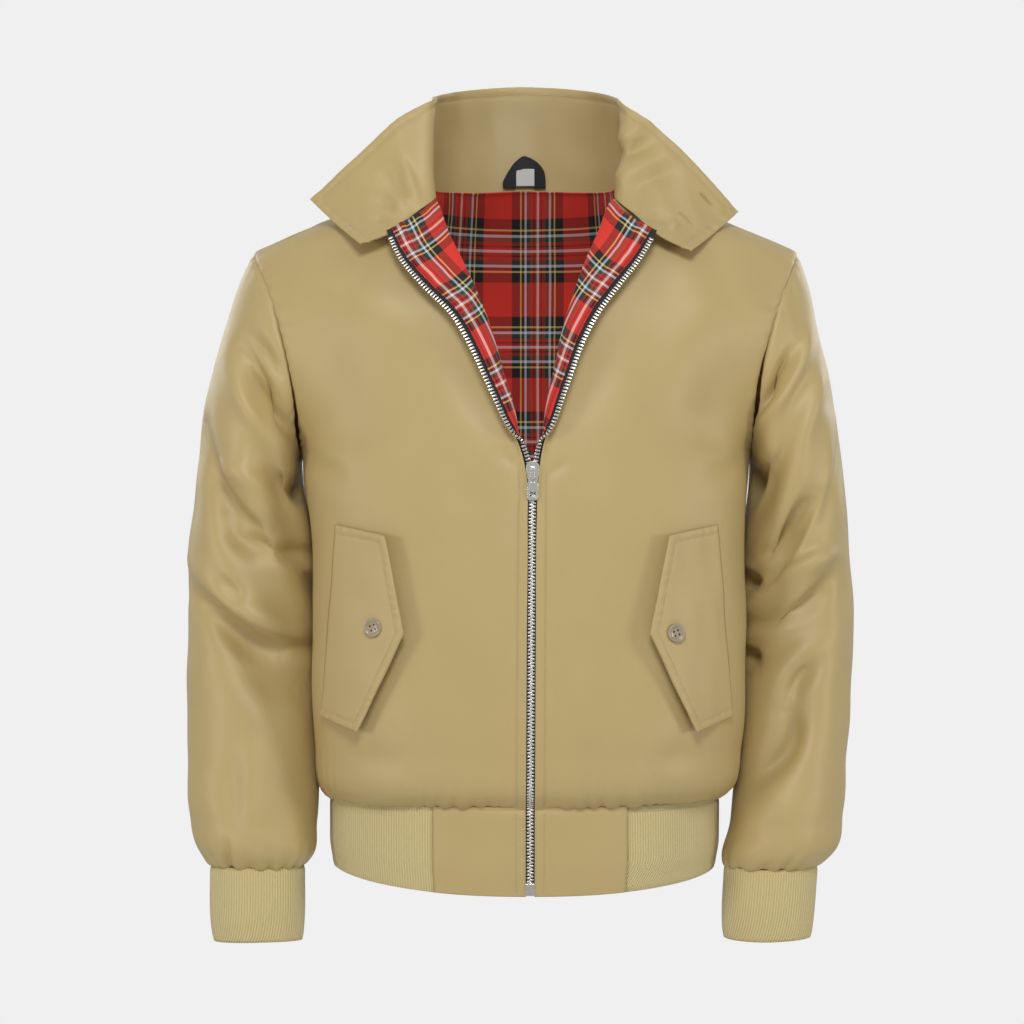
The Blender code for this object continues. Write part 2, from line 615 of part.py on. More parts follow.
# ---------------------------------------------------------------- back
BACK_HALF = np.array([0, 0.15, 0.30, 0.43, 0.55, 0.69, 0.82, 0.92, 1.0])
BACK_ACROSS = np.concatenate([-BACK_HALF[:0:-1], BACK_HALF])
BACK_UPS = np.array([0, 0.015, 0.05, 0.14, 0.28, 0.42, 0.52, 0.62, 0.72, 0.82, 0.92, 1.0])
BACK = back_grid(BACK_UPS, BACK_ACROSS)
cloth("back", [trim(BACK, 0.0014, 0.0014, 0.0006, 0.0008)], SHELL, TAN)
BACK_IN = BACK + normals(BACK) * (SHELL / 2 + LAYER * 3.5 + LINING / 2)
cloth("lining_back", [trim(BACK_IN, 0.004, 0.004, 0.0012, 0.003)], LINING, TARTAN)

# ---------------------------------------------------------------- sleeves and cuffs
DOWNS = np.array([0, 0.05, 0.12, 0.20, 0.28, 0.36, 0.43, 0.50, 0.56, 0.61, 0.67, 0.76, 0.88, 0.96, 1.0])
TURNS = np.arange(20) / 20 * 2 * math.pi
CUFF_TURNS = np.arange(18) / 18 * 2 * math.pi
for SIDE in SIDES:
    sleeve = trim(sleeve_grid(SIDE, DOWNS, TURNS), bottom=0.0026, top=0.0004)
    cloth(f"sleeve_{SIDE}", [sleeve], SHELL, TAN, closed=True)
    tab = CUFF[SIDE]
    rows = []
    for z in (-0.6830, -0.6600, float(tab["z"][-1]) - 0.0008):
        x, y, wide, deep = (float(read(tab, c, z)) for c in ("x", "y", "wide", "deep"))
        rows.append([[x + wide * math.cos(t), y - deep * math.sin(t), z] for t in CUFF_TURNS])
    cloth(f"cuff_{SIDE}", [np.array(rows)], RIB, KNIT, closed=True)

# ---------------------------------------------------------------- hem band
SHARES = np.array([1, 0.85, 0.45, 0])
WHOLE = {side: band_plan(side, None) for side in SIDES}
for SIDE in SIDES:
    LENGTHS = np.linspace(EDGE_HALF, TAB_REACH, 6)
    cloth(f"hem_tab_{SIDE}", [band_rows(band_plan(SIDE, LENGTHS), SHARES)], DOUBLED, TAN)
HALVES = []
for SIDE in SIDES:
    LENGTHS = np.linspace(TAB_REACH + 0.0006, WHOLE[SIDE], 13)
    HALVES.append(band_plan(SIDE, LENGTHS))
cloth("waistband_rib", [band_rows(np.concatenate([HALVES[0], HALVES[1][-2::-1]]), SHARES)], RIB, KNIT)

# ---------------------------------------------------------------- collar
ALONGS = np.concatenate([[0, 0.03, 0.06], np.linspace(0.09, 0.91, 25), [0.94, 0.97, 1.0]])
cloth("collar", [collar_grid(ALONGS, np.array([0, 0.2, 0.45, 0.72, 1.0]))], COLLAR_THICK, TAN)


# ---------------------------------------------------------------- pocket flaps and buttons
def on_front(side, x, z):
    """The front's point with this x and z, and its outward normal there."""
    up, share = 0.3, 0.5
    for _ in range(12):
        here = front_row(side, up, [share])[0]
        by_up = (front_row(side, up + 0.002, [share])[0] - here) / 0.002
        by_share = (front_row(side, up, [share + 0.002])[0] - here) / 0.002
        step = np.linalg.solve(
            np.array([[by_up[0], by_share[0]], [by_up[2], by_share[2]]]), np.array([x - here[0], z - here[2]])
        )
        up, share = np.clip([up + step[0], share + step[1]], [0, 0], [0.99, 0.99])
    out = np.cross(by_share, by_up) * SIDES[side]
    return here, out / np.linalg.norm(out)


def flap_point(side, down, across):
    """A flap's middle surface: across is 0 at its sewn edge and 1 at its free edge."""
    names = ("sewn_half", "sewn_z", "free_half", "free_z")
    sewn_half, sewn_z, free_half, free_z = (np.interp(down, FLAP["down"], FLAP[c]) for c in names)
    half = sewn_half + (free_half - sewn_half) * across
    z = sewn_z + (free_z - sewn_z) * across
    here, out = on_front(side, FLAP_AXIS + SIDES[side] * half, z)
    lift = SHELL / 2 + DOUBLED / 2 + FLAP_GAP[side] + FLAP_LIFT * across**2
    return here + out * lift, out


for SIDE in SIDES:
    DOWN = np.array([0, 0.16, 0.33, 0.5, 0.75, 1.0])
    OVER = np.array([0, 0.25, 0.5, 0.75, 1.0])
    FLAP_GRID = np.array([[flap_point(SIDE, d, a)[0] for a in OVER] for d in DOWN])
    cloth(f"pocket_flap_{SIDE}", [FLAP_GRID], DOUBLED, TAN)


def button(name, radius, place, out, high=BUTTON_H):
    """A sew-through button: four thread holes, the disc lying against the cloth."""
    loops = [circle(radius, 20)]
    for x in (-1, 1):
        for y in (-1, 1):
            loops.append(circle(0.0009, 4, x * 0.0017, y * 0.0017))
    plate(name, loops, high, BUTTON, facing_way(place, (1, 0, 0), out))


def on_collar(x, z, start):
    """The collar's point with this x and z, and its outward normal there; start is where the search begins."""
    def point(at):
        return collar_grid(np.array([at[0] - 0.002, at[0], at[0] + 0.002]), [at[1]])[0][1]

    at = np.array(start, float)
    for _ in range(12):
        here = point(at)
        by = [(point(at + d) - here) / 0.002 for d in np.array([[0.002, 0], [0, 0.002]])]
        step = np.linalg.solve(np.array([[v[0] for v in by], [v[2] for v in by]]), [x - here[0], z - here[2]])
        at = np.clip(at + np.clip(step, -0.1, 0.1), [0.01, 0.02], [0.99, 0.98])
    out = np.cross(by[1], by[0])
    return here, out / np.linalg.norm(out)


for NUMBER, (X, Z) in enumerate(COLLAR_BUTTONS, 1):
    here, out = on_collar(X, Z, (0.05, 0.8))
    place = here + out * (COLLAR_THICK / 2 + COLLAR_BUTTON_H / 2 + 0.0005)
    button(f"collar_button_{NUMBER}", COLLAR_BUTTON_R, place, out, COLLAR_BUTTON_H)

for SIDE in SIDES:
    here, out = flap_point(SIDE, 0.48, BUTTON_ACROSS)
    button(f"flap_button_{SIDE}", BUTTON_R, here + out * (DOUBLED / 2 + BUTTON_H / 2 + 0.0006), out)

# ---------------------------------------------------------------- zip slider, pull and box
SLIDER_X, SLIDER_Z = 0.0066, -0.2660
TAPE_Y = -0.1325 + TAPE_IN
FRONT_PLATE = TAPE_Y - 0.0025
METAL_PLATE = 0.0012
SHIELD = [
    (-0.0030, 0.0090), (0.0030, 0.0090), (0.0056, 0.0055), (0.0056, 0.0010), (0.0042, -0.0060),
    (0.0040, -0.0090), (-0.0040, -0.0090), (-0.0042, -0.0060), (-0.0056, 0.0010), (-0.0056, 0.0055),
]
FACE = facing_way((SLIDER_X, FRONT_PLATE, SLIDER_Z), (1, 0, 0), (0, -1, 0))
slider = plate("zip_slider", [SHIELD], METAL_PLATE, METAL, FACE)
BACK_FACE = facing_way((SLIDER_X, TAPE_Y + 0.0025, SLIDER_Z), (1, 0, 0), (0, -1, 0))
combine(slider, plate("slider_back_plate", [SHIELD], METAL_PLATE, METAL, BACK_FACE), "UNION")
POST = block("slider_post", (0.0022, 0.0056, 0.0022), (SLIDER_X, TAPE_Y, SLIDER_Z + 0.0075), METAL)
combine(slider, POST, "UNION")
BRIDGE_WIDE, BRIDGE_HALF, BRIDGE_OUT, BRIDGE_BAR = 0.0034, 0.0056, 0.0036, 0.0010
ARCH = [
    (BRIDGE_HALF, -0.0003), (BRIDGE_HALF, BRIDGE_OUT - 0.0012), (BRIDGE_HALF - 0.0012, BRIDGE_OUT),
    (0.0012 - BRIDGE_HALF, BRIDGE_OUT), (-BRIDGE_HALF, BRIDGE_OUT - 0.0012), (-BRIDGE_HALF, -0.0003),
    (BRIDGE_BAR - BRIDGE_HALF, -0.0003), (BRIDGE_BAR - BRIDGE_HALF, BRIDGE_OUT - BRIDGE_BAR),
    (BRIDGE_HALF - BRIDGE_BAR, BRIDGE_OUT - BRIDGE_BAR), (BRIDGE_HALF - BRIDGE_BAR, -0.0003),
]
OUTER = FRONT_PLATE - METAL_PLATE / 2  # the slider's outer face
ARCH_PLACE = Matrix.Translation((SLIDER_X, OUTER, SLIDER_Z - 0.001)) @ Matrix(
    ((0, 0, 1, 0), (0, -1, 0, 0), (1, 0, 0, 0), (0, 0, 0, 1))
)
combine(slider, plate("slider_bridge", [ARCH], BRIDGE_WIDE, METAL, ARCH_PLACE), "UNION")

AXIS_Y, AXIS_Z = OUTER - 0.00125, SLIDER_Z - 0.0045  # the pull's hinge, under the bridge
PULL = [
    (-0.0030, 0.0006), (0.0030, 0.0006), (0.0034, -0.0030), (0.0047, -0.0062), (0.0047, -0.0180),
    (0.0037, -0.0196), (-0.0037, -0.0196), (-0.0047, -0.0180), (-0.0047, -0.0062), (-0.0034, -0.0030),
]
EYE = [(-0.0021, -0.0006), (0.0021, -0.0006), (0.0021, -0.0042), (-0.0021, -0.0042)]
SLOT = [(-0.0025, -0.0125), (0.0025, -0.0125), (0.0025, -0.0165), (-0.0025, -0.0165)]
PULL_FACE = facing_way((SLIDER_X, AXIS_Y, AXIS_Z), (1, 0, 0), (0, -1, 0))
plate("zip_pull", [PULL, EYE, SLOT], 0.0012, METAL, PULL_FACE)
block("zip_box", (0.0085, 0.0034, 0.0105), (BAND_AXIS, ZIP_Y, BAND_BOTTOM + 0.0069), METAL)

# ---------------------------------------------------------------- hanger loop and size tag at the nape
LOOP = [
    (-0.0195, 0.0), (-0.0195, 0.0230), (-0.0140, 0.0290), (0.0140, 0.0290), (0.0195, 0.0230), (0.0195, 0.0),
    (0.0130, 0.0), (0.0130, 0.0210), (0.0105, 0.0230), (-0.0105, 0.0230), (-0.0130, 0.0210), (-0.0130, 0.0),
]
LEAN = Vector((0, -0.97, 0.24))
TAG = [(-0.0080, 0.0), (0.0080, 0.0), (0.0080, 0.0150), (-0.0080, 0.0150)]


def bend_to_collar(obj):
    """Curves a flat piece back at its sides, as the collar does."""
    for vert in obj.data.vertices:
        vert.co.y -= COLLAR_CURVE * vert.co.x**2


COLLAR_CURVE = 6.0
bend_to_collar(plate("hanger_loop", [LOOP], 0.0012, BLACK, facing_way((0, 0.0796, 0.0035), (1, 0, 0), LEAN)))
bend_to_collar(plate("size_tag", [TAG], 0.0010, WHITE, facing_way((0, 0.0796, 0.0040), (1, 0, 0), LEAN)))
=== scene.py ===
# %% [markdown]
# A harrington jacket, hollow as it is when somebody wears it.
#
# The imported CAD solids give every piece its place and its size. This notebook makes each piece again as
# thin cloth on the same form, with the finer creases, seams, stitches and finishes that solids leave out.
# All sizes are in metres. The front faces -Y, and left and right are the wearer's.

import math

import bmesh
import bpy
import numpy as np
from mathutils import Matrix, Vector


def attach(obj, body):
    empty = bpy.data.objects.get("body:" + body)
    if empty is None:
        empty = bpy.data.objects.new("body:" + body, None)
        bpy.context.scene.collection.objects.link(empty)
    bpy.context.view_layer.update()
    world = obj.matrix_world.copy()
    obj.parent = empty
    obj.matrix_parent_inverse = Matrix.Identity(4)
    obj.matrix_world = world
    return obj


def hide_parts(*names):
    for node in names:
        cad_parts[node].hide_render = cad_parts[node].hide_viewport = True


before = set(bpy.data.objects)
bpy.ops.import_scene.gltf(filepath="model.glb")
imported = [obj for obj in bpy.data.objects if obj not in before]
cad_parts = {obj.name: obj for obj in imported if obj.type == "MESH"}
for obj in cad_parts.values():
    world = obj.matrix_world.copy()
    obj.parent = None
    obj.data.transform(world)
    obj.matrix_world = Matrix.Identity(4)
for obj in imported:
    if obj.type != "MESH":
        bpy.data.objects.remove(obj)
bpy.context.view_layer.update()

# %% [markdown]
# Materials. A real finish is named here by what it is made of and how, because that is what decides how it
# takes light. Blender's shader works in linear light, while a hex colour is written for a screen, so one
# function turns one into the other.

# %% Colours and nodes
def linear(hexed):
    """A screen colour such as "b59e70" as linear light."""
    parts = [int(hexed[i : i + 2], 16) / 255 for i in (0, 2, 4)]
    return [c / 12.92 if c <= 0.04045 else ((c + 0.055) / 1.055) ** 2.4 for c in parts]


def start(name, colour, rough, **settings):
    """A material with its Principled shader set, its node tree and its shader."""
    made = bpy.data.materials.new(name)
    made.use_nodes = True
    shader = made.node_tree.nodes["Principled BSDF"]
    shader.inputs["Base Color"].default_value = (*linear(colour), 1)
    shader.inputs["Roughness"].default_value = rough
    for socket, value in settings.items():
        shader.inputs[socket.replace("_", " ")].default_value = value
    return made, made.node_tree, shader


def node(tree, kind, inputs=(), **settings):
    """Adds one node, sets its properties, and fills its inputs with values or with other nodes' outputs."""
    new = tree.nodes.new("ShaderNode" + kind)
    for key, value in settings.items():
        setattr(new, key, value)
    for key, value in dict(inputs).items():
        if isinstance(value, bpy.types.NodeSocket):
            tree.links.new(value, new.inputs[key])
        else:
            new.inputs[key].default_value = value
    return new


def wave(tree, along, pitch):
    """A smooth wave from 0 to 1 along a length, repeating at this pitch in metres."""
    turns = node(tree, "Math", {0: along, 1: 2 * math.pi / pitch}, operation="MULTIPLY")
    sine = node(tree, "Math", {0: turns.outputs[0]}, operation="SINE")
    return node(tree, "Math", {0: sine.outputs[0], 1: 0.5, 2: 0.5}, operation="MULTIPLY_ADD").outputs[0]


def cloth_lengths(tree):
    """The two lengths along the cloth, in metres, that every piece stores as its UV map."""
    place = node(tree, "UVMap", uv_map="cloth")
    split = node(tree, "SeparateXYZ", {0: place.outputs[0]})
    return split.outputs[0], split.outputs[1]


def bumped(tree, shader, height, depth):
    """Raises the surface by a pattern from 0 to 1 that is this deep in metres."""
    bump = node(tree, "Bump", {"Strength": 1.0, "Distance": depth, "Height": height})
    tree.links.new(bump.outputs[0], shader.inputs["Normal"])


def add_up(tree, first, second, share):
    """first plus share times second."""
    return node(tree, "Math", {0: second, 1: share, 2: first}, operation="MULTIPLY_ADD").outputs[0]


# %% [markdown]
# The shell is a tightly woven cotton and polyester twill. Its long floats lie side by side and give it a
# low satin light, so its highlights are broad and soft, and the diagonal of the weave is only felt. The
# real pitch is near half a millimetre; it is drawn at nearly a millimetre so that it doesn't shimmer.

# %% The shell's twill
def twill(name, colour, rough):
    made, tree, shader = start(name, colour, rough, Sheen_Weight=0.12, Sheen_Roughness=0.5)
    shader.inputs["Sheen Tint"].default_value = (*linear("e8d9b4"), 1)
    u, v = cloth_lengths(tree)
    line = node(tree, "Math", {0: u, 1: v}, operation="ADD").outputs[0]
    weave = wave(tree, line, 0.0009)
    where = node(tree, "TexCoord")
    cloud = node(tree, "TexNoise", {"Vector": where.outputs["Object"], "Scale": 26.0, "Detail": 5.0})
    speck = node(tree, "TexNoise", {"Vector": where.outputs["Object"], "Scale": 900.0, "Detail": 2.0})
    height = add_up(tree, weave, speck.outputs["Fac"], 0.7)
    bumped(tree, shader, height, 0.00005)
    light, dark = (*linear(colour), 1), (*[c * 0.93 for c in linear(colour)], 1)
    mixed = node(tree, "Mix", {0: cloud.outputs["Fac"], 6: dark, 7: light}, data_type="RGBA")
    tree.links.new(mixed.outputs[2], shader.inputs["Base Color"])
    return made


TWILL = twill("woven cotton twill, satin faced", "c2ab74", 0.42)

# %% [markdown]
# The hem and the cuffs are a knitted rib. The knit stands in fine upright ribs with shadow between them,
# and each rib is a chain of small stitches. It is woollier than the twill, so it has no satin light at all.

# %% The knitted rib
def rib_knit():
    made, tree, shader = start("rib knit in combed cotton", "d8c488", 0.9, Sheen_Weight=0.25)
    u, v = cloth_lengths(tree)
    ribs = wave(tree, u, 0.0024)
    rounded = node(tree, "Math", {0: ribs, 1: 0.6}, operation="POWER").outputs[0]
    loops = wave(tree, v, 0.0016)
    height = add_up(tree, rounded, loops, 0.25)
    bumped(tree, shader, height, 0.00055)
    # Painted shade: the colour darkens into the grooves between the ribs and is a little lighter on the rib
    # tops, on top of what the bump shades.
    ramp = node(tree, "ValToRGB", {0: rounded})
    ramp.color_ramp.elements[0].color = (*[c * 0.84 for c in linear("d8c488")], 1)
    ramp.color_ramp.elements[1].color = (*linear("d9c890"), 1)
    tree.links.new(ramp.outputs[0], shader.inputs["Base Color"])
    return made


KNIT = rib_knit()

# %% [markdown]
# The lining is a brushed cotton tartan. One order of coloured threads, the sett, runs both ways and turns
# back on itself, so a distance that goes up and down again (a ping-pong) reads it. Where warp and weft
# cross, a twill shows a little of each, and that is why two colours make a third. The finger-wide red
# squares, the dark bars and the thin pale lines are true to size; the twill is drawn coarser than it is.

# %% The tartan
SETT = 0.039  # from the thin white line to the middle of the red square
SETT_COLOURS = (  # millimetres from the white line, and the thread's colour from there on
    (0.0, "e9e2d8"), (1.0, "c42a22"), (3.0, "22242a"), (4.3, "c42a22"), (6.9, "1c4a3c"), (10.7, "d6e2ea"),
    (12.9, "181c20"), (15.6, "ecd07a"), (17.1, "1e1a1e"), (25.0, "e4382a"),
)


def tartan():
    made, tree, shader = start("brushed cotton tartan", "b01812", 0.9, Sheen_Weight=0.06)
    u, v = cloth_lengths(tree)
    threads = []
    for way in (u, v):
        back = node(tree, "Math", {0: way, 1: SETT}, operation="PINGPONG").outputs[0]
        share = node(tree, "Math", {0: back, 1: SETT}, operation="DIVIDE").outputs[0]
        ramp = node(tree, "ValToRGB", {0: share})
        ramp.color_ramp.interpolation = "CONSTANT"
        for number, (at, colour) in enumerate(SETT_COLOURS):
            stops = ramp.color_ramp.elements
            stop = stops[number] if number < 2 else stops.new(at / 1000 / SETT)
            stop.position = at / 1000 / SETT
            stop.color = (*linear(colour), 1)
        threads.append(ramp.outputs[0])
    line = node(tree, "Math", {0: u, 1: v}, operation="SUBTRACT").outputs[0]
    over = wave(tree, line, 0.0013)
    over = node(tree, "MapRange", {0: over, 3: 0.38, 4: 0.62}).outputs[0]
    mixed = node(tree, "Mix", {0: over, 6: threads[0], 7: threads[1]}, data_type="RGBA")
    tree.links.new(mixed.outputs[2], shader.inputs["Base Color"])
    fibres = node(tree, "TexNoise", {"Vector": node(tree, "TexCoord").outputs["Object"], "Scale": 1400.0})
    bumped(tree, shader, add_up(tree, over, fibres.outputs["Fac"], 0.6), 0.00010)
    return made


TARTAN = tartan()

# %% [markdown]
# The small things. The zip's tape and the hanger loop are woven polyester, the metal is nickel-plated
# brass, the buttons are moulded in a horn-like resin, and the tag is white woven polyester, left bare.

# %% Tape, metal, resin, tag and thread
def woven_tape(name, colour, pitch):
    made, tree, shader = start(name, colour, 0.75, Sheen_Weight=0.1)
    u, v = cloth_lengths(tree)
    chevron = node(tree, "Math", {0: u, 1: pitch * 2}, operation="PINGPONG").outputs[0]
    line = node(tree, "Math", {0: chevron, 1: v}, operation="ADD").outputs[0]
    bumped(tree, shader, wave(tree, line, pitch), 0.00012)
    return made


BLACK = woven_tape("woven polyester tape, black", "16171a", 0.0011)
WHITE = woven_tape("woven polyester tag, white", "d9d9d6", 0.0008)


def nickel():
    made, tree, shader = start("nickel-plated brass, tumbled", "d6d3cc", 0.30, Metallic=1.0)
    where = node(tree, "TexCoord").outputs["Object"]
    rub = node(tree, "TexNoise", {"Vector": where, "Scale": 700.0, "Detail": 3.0})
    rough = node(tree, "MapRange", {0: rub.outputs["Fac"], 3: 0.18, 4: 0.38})
    tree.links.new(rough.outputs[0], shader.inputs["Roughness"])
    return made


NICKEL = nickel()


def horn_resin():
    made, tree, shader = start("polyester resin, moulded like horn", "a89880", 0.30, Coat_Weight=0.3)
    where = node(tree, "TexCoord").outputs["Object"]
    cloud = node(tree, "TexNoise", {"Vector": where, "Scale": 160.0, "Detail": 4.0, "Distortion": 1.2})
    light, dark = (*linear("b7a88f"), 1), (*linear("8d7c64"), 1)
    mixed = node(tree, "Mix", {0: cloud.outputs["Fac"], 6: dark, 7: light}, data_type="RGBA")
    tree.links.new(mixed.outputs[2], shader.inputs["Base Color"])
    return made


RESIN = horn_resin()
THREAD, _, _ = start("spun polyester thread", "c4ae80", 0.6, Sheen_Weight=0.2)
print("materials", [m.name for m in bpy.data.materials])

# %% [markdown]
# The form. The jacket is a handful of surfaces, and each is read out of a short table in the jacket's own
# sizes: how wide, how deep and how high it is at a few stations. They follow the tables that the CAD solids
# were made from. Here and there they are moved a few millimetres, where soft cloth rolls out, swells against
# its neighbour or hangs past a plain solid.

# %% Driving sizes
SHELL = 0.0012  # thickness of the woven shell
LINING = 0.0010
DOUBLED = 0.0024  # two layers of shell sewn together, for flaps and hem tabs
COLLAR_THICK = 0.0020
RIB = 0.0022  # knitted hem and cuffs
LAYER = 0.0004  # gap kept between two layers

NECK_HALF = 0.086  # half the width of the neck at the shoulder seams
CROWN = 0.005  # how much the shoulder seam curves up
ARMPIT_HALF = 0.2015
ARMPIT_DROP = 0.246
ARM_Y = 0.005  # the armhole's middle, front to back
ARMHOLE_FRONT = 0.075  # how far the armhole reaches forwards and backwards
ARMHOLE_BACK = 0.070
ARMHOLE_BOW = 0.0125  # how far its sides bow towards the chest
ARMPIT_UP = 0.52  # the armpit's place on a panel, from 0 at the hem to 1 at the shoulder
LAPEL_UP = 0.94  # where the roll of the turned front meets the neck
SLIDER_UP = 0.50
TURN_UP = 0.525  # the front begins to turn out just above the slider

BAND_TOP, BAND_BOTTOM = -0.553, -0.628  # the hem band
BAND_RISE = 0.014  # its lower edge rises this much from the zip to the sides
BAND_AXIS = 0.0045  # the zip hangs a little to the wearer's left of the middle
BAND_HALF, BAND_FRONT, BAND_BACK = 0.173, -0.1182, 0.098
TAB_REACH = 0.0835  # woven front tab of the band, from the zip
EDGE_CLOSED = 0.0038  # from the zip's middle to each front edge, where the cloth rolls in over the tape
TAPE = 0.0010
TAPE_REST = 0.0006  # between the zip's middle and the edge of each tape

BUTTON_R, BUTTON_H = 0.0080, 0.0028
COLLAR_BUTTON_R, COLLAR_BUTTON_H = 0.0070, 0.0024

SIDES = {"right": -1, "left": 1}
TAPE_IN = SHELL / 2 + LAYER + TAPE / 2  # from the shell's middle to the tape's middle
LINING_IN = SHELL / 2 + LAYER + TAPE + LAYER + LINING / 2
TAB_OUT = TAPE / 2 + LAYER + DOUBLED / 2  # from the tape's middle to the hem tab's middle
ZIP_Y = BAND_FRONT + TAB_OUT + LAYER  # the tape's depth beside the hem tabs



# %% Reading a table
def table(columns, *rows):
    """A short table with named columns."""
    return dict(zip(columns.split(), np.array(rows, float).T))


def read(tab, column, at):
    """The smooth curve through a column, read at these values of the table's first column."""
    x, y = next(iter(tab.values())), tab[column]
    at = np.clip(np.asarray(at, float), x[0], x[-1])
    slope = np.gradient(y, x)
    i = np.clip(np.searchsorted(x, at, side="right") - 1, 0, len(x) - 2)
    step = x[i + 1] - x[i]
    t = (at - x[i]) / step
    a, b = slope[i] * step, slope[i + 1] * step
    rise = y[i + 1] - y[i]
    return y[i] + t * a + t * t * (3 * rise - 2 * a - b) + t**3 * (a + b - 2 * rise)


def ease(t):
    t = np.clip(t, 0, 1)
    return t * t * (3 - 2 * t)


# The inner edge of each front: straight beside the zip, then the roll of the turned front, then the neck.
FRONT_EDGE = table(
    "up half axis y z",
    (0.00, 0.0120, 0.0045, -0.118, BAND_TOP),
    (0.03, 0.0120, 0.0046, -0.130, -0.540),
    (0.09, 0.0120, 0.0048, -0.135, -0.505),
    (0.25, 0.0120, 0.0053, -0.136, -0.410),
    (0.41, 0.0120, 0.0060, -0.134, -0.310),
    (SLIDER_UP, 0.0122, 0.0064, -0.1320, -0.266),
    (0.58, 0.0180, 0.0045, -0.1275, -0.215),
    (0.64, 0.0262, 0.0030, -0.1225, -0.178),
    (0.70, 0.0345, 0.0018, -0.1165, -0.145),
    (0.76, 0.0450, 0.0008, -0.1090, -0.115),
    (0.82, 0.0570, -0.0005, -0.0965, -0.086),
    (0.88, 0.0705, -0.0008, -0.0800, -0.055),
    (LAPEL_UP, 0.0795, -0.0004, -0.0620, -0.0268),
    (1.00, NECK_HALF, 0.0000, 0.0050, -0.008),
)
# The finished edge with the zip: beside the zip's middle, and above the slider turned out over the chest.
ZIP_EDGE = table(
    "up right left y z",
    (0.00, EDGE_CLOSED, EDGE_CLOSED, -0.118, BAND_TOP),
    (0.03, EDGE_CLOSED, EDGE_CLOSED, -0.130, -0.540),
    (0.09, EDGE_CLOSED, EDGE_CLOSED, -0.135, -0.505),
    (0.25, EDGE_CLOSED, EDGE_CLOSED, -0.136, -0.410),
    (0.41, EDGE_CLOSED, EDGE_CLOSED, -0.134, -0.310),
    (SLIDER_UP, 0.0055, 0.0055, -0.1325, -0.266),
    (0.535, 0.0092, 0.0088, -0.1330, -0.248),
    (0.58, 0.0196, 0.0185, -0.1362, -0.219),
    (0.64, 0.0325, 0.0308, -0.1345, -0.186),
    (0.70, 0.0447, 0.0425, -0.1300, -0.156),
    (0.76, 0.0590, 0.0565, -0.1240, -0.130),
    (0.82, 0.0800, 0.0745, -0.1155, -0.107),
    (0.88, 0.1010, 0.0945, -0.1050, -0.0825),
    (LAPEL_UP, 0.1150, 0.1105, -0.0930, -0.0565),
)
SIDE_SEAM = table(
    "up half axis y z",
    (0.00, 0.1740, -0.0005, 0.000, BAND_TOP),
    (0.03, 0.1850, 0.0020, 0.000, -0.541),
    (0.09, 0.1900, 0.0030, 0.000, -0.505),
    (0.25, 0.1920, 0.0040, 0.000, -0.410),
    (0.41, 0.1930, 0.0030, 0.001, -0.310),
    (ARMPIT_UP, ARMPIT_HALF, 0.0010, ARM_Y, -ARMPIT_DROP),
)
BACK_MIDDLE = table(
    "up y z",
    (0.00, 0.098, BAND_TOP),
    (0.03, 0.110, -0.541),
    (0.09, 0.114, -0.505),
    (0.25, 0.113, -0.410),
    (0.41, 0.114, -0.310),
    (0.52, 0.117, -0.240),
    (0.64, 0.119, -0.170),
    (0.76, 0.117, -0.115),
    (0.88, 0.107, -0.055),
    (1.00, 0.082, 0.000),
)
# How far a row of a panel turns round the body, in degrees, and how square its corner is (2 is round).
ROW_SHAPE = table(
    "up wrap front_square back_square",
    (0.00, 90, 2.5, 2.3),
    (0.09, 90, 2.9, 2.5),
    (0.41, 90, 2.9, 2.5),
    (0.52, 88, 2.6, 2.3),
    (0.64, 66, 2.3, 2.1),
    (0.76, 52, 2.1, 2.0),
    (0.88, 42, 2.0, 2.0),
    (1.00, 30, 2.0, 2.0),
)
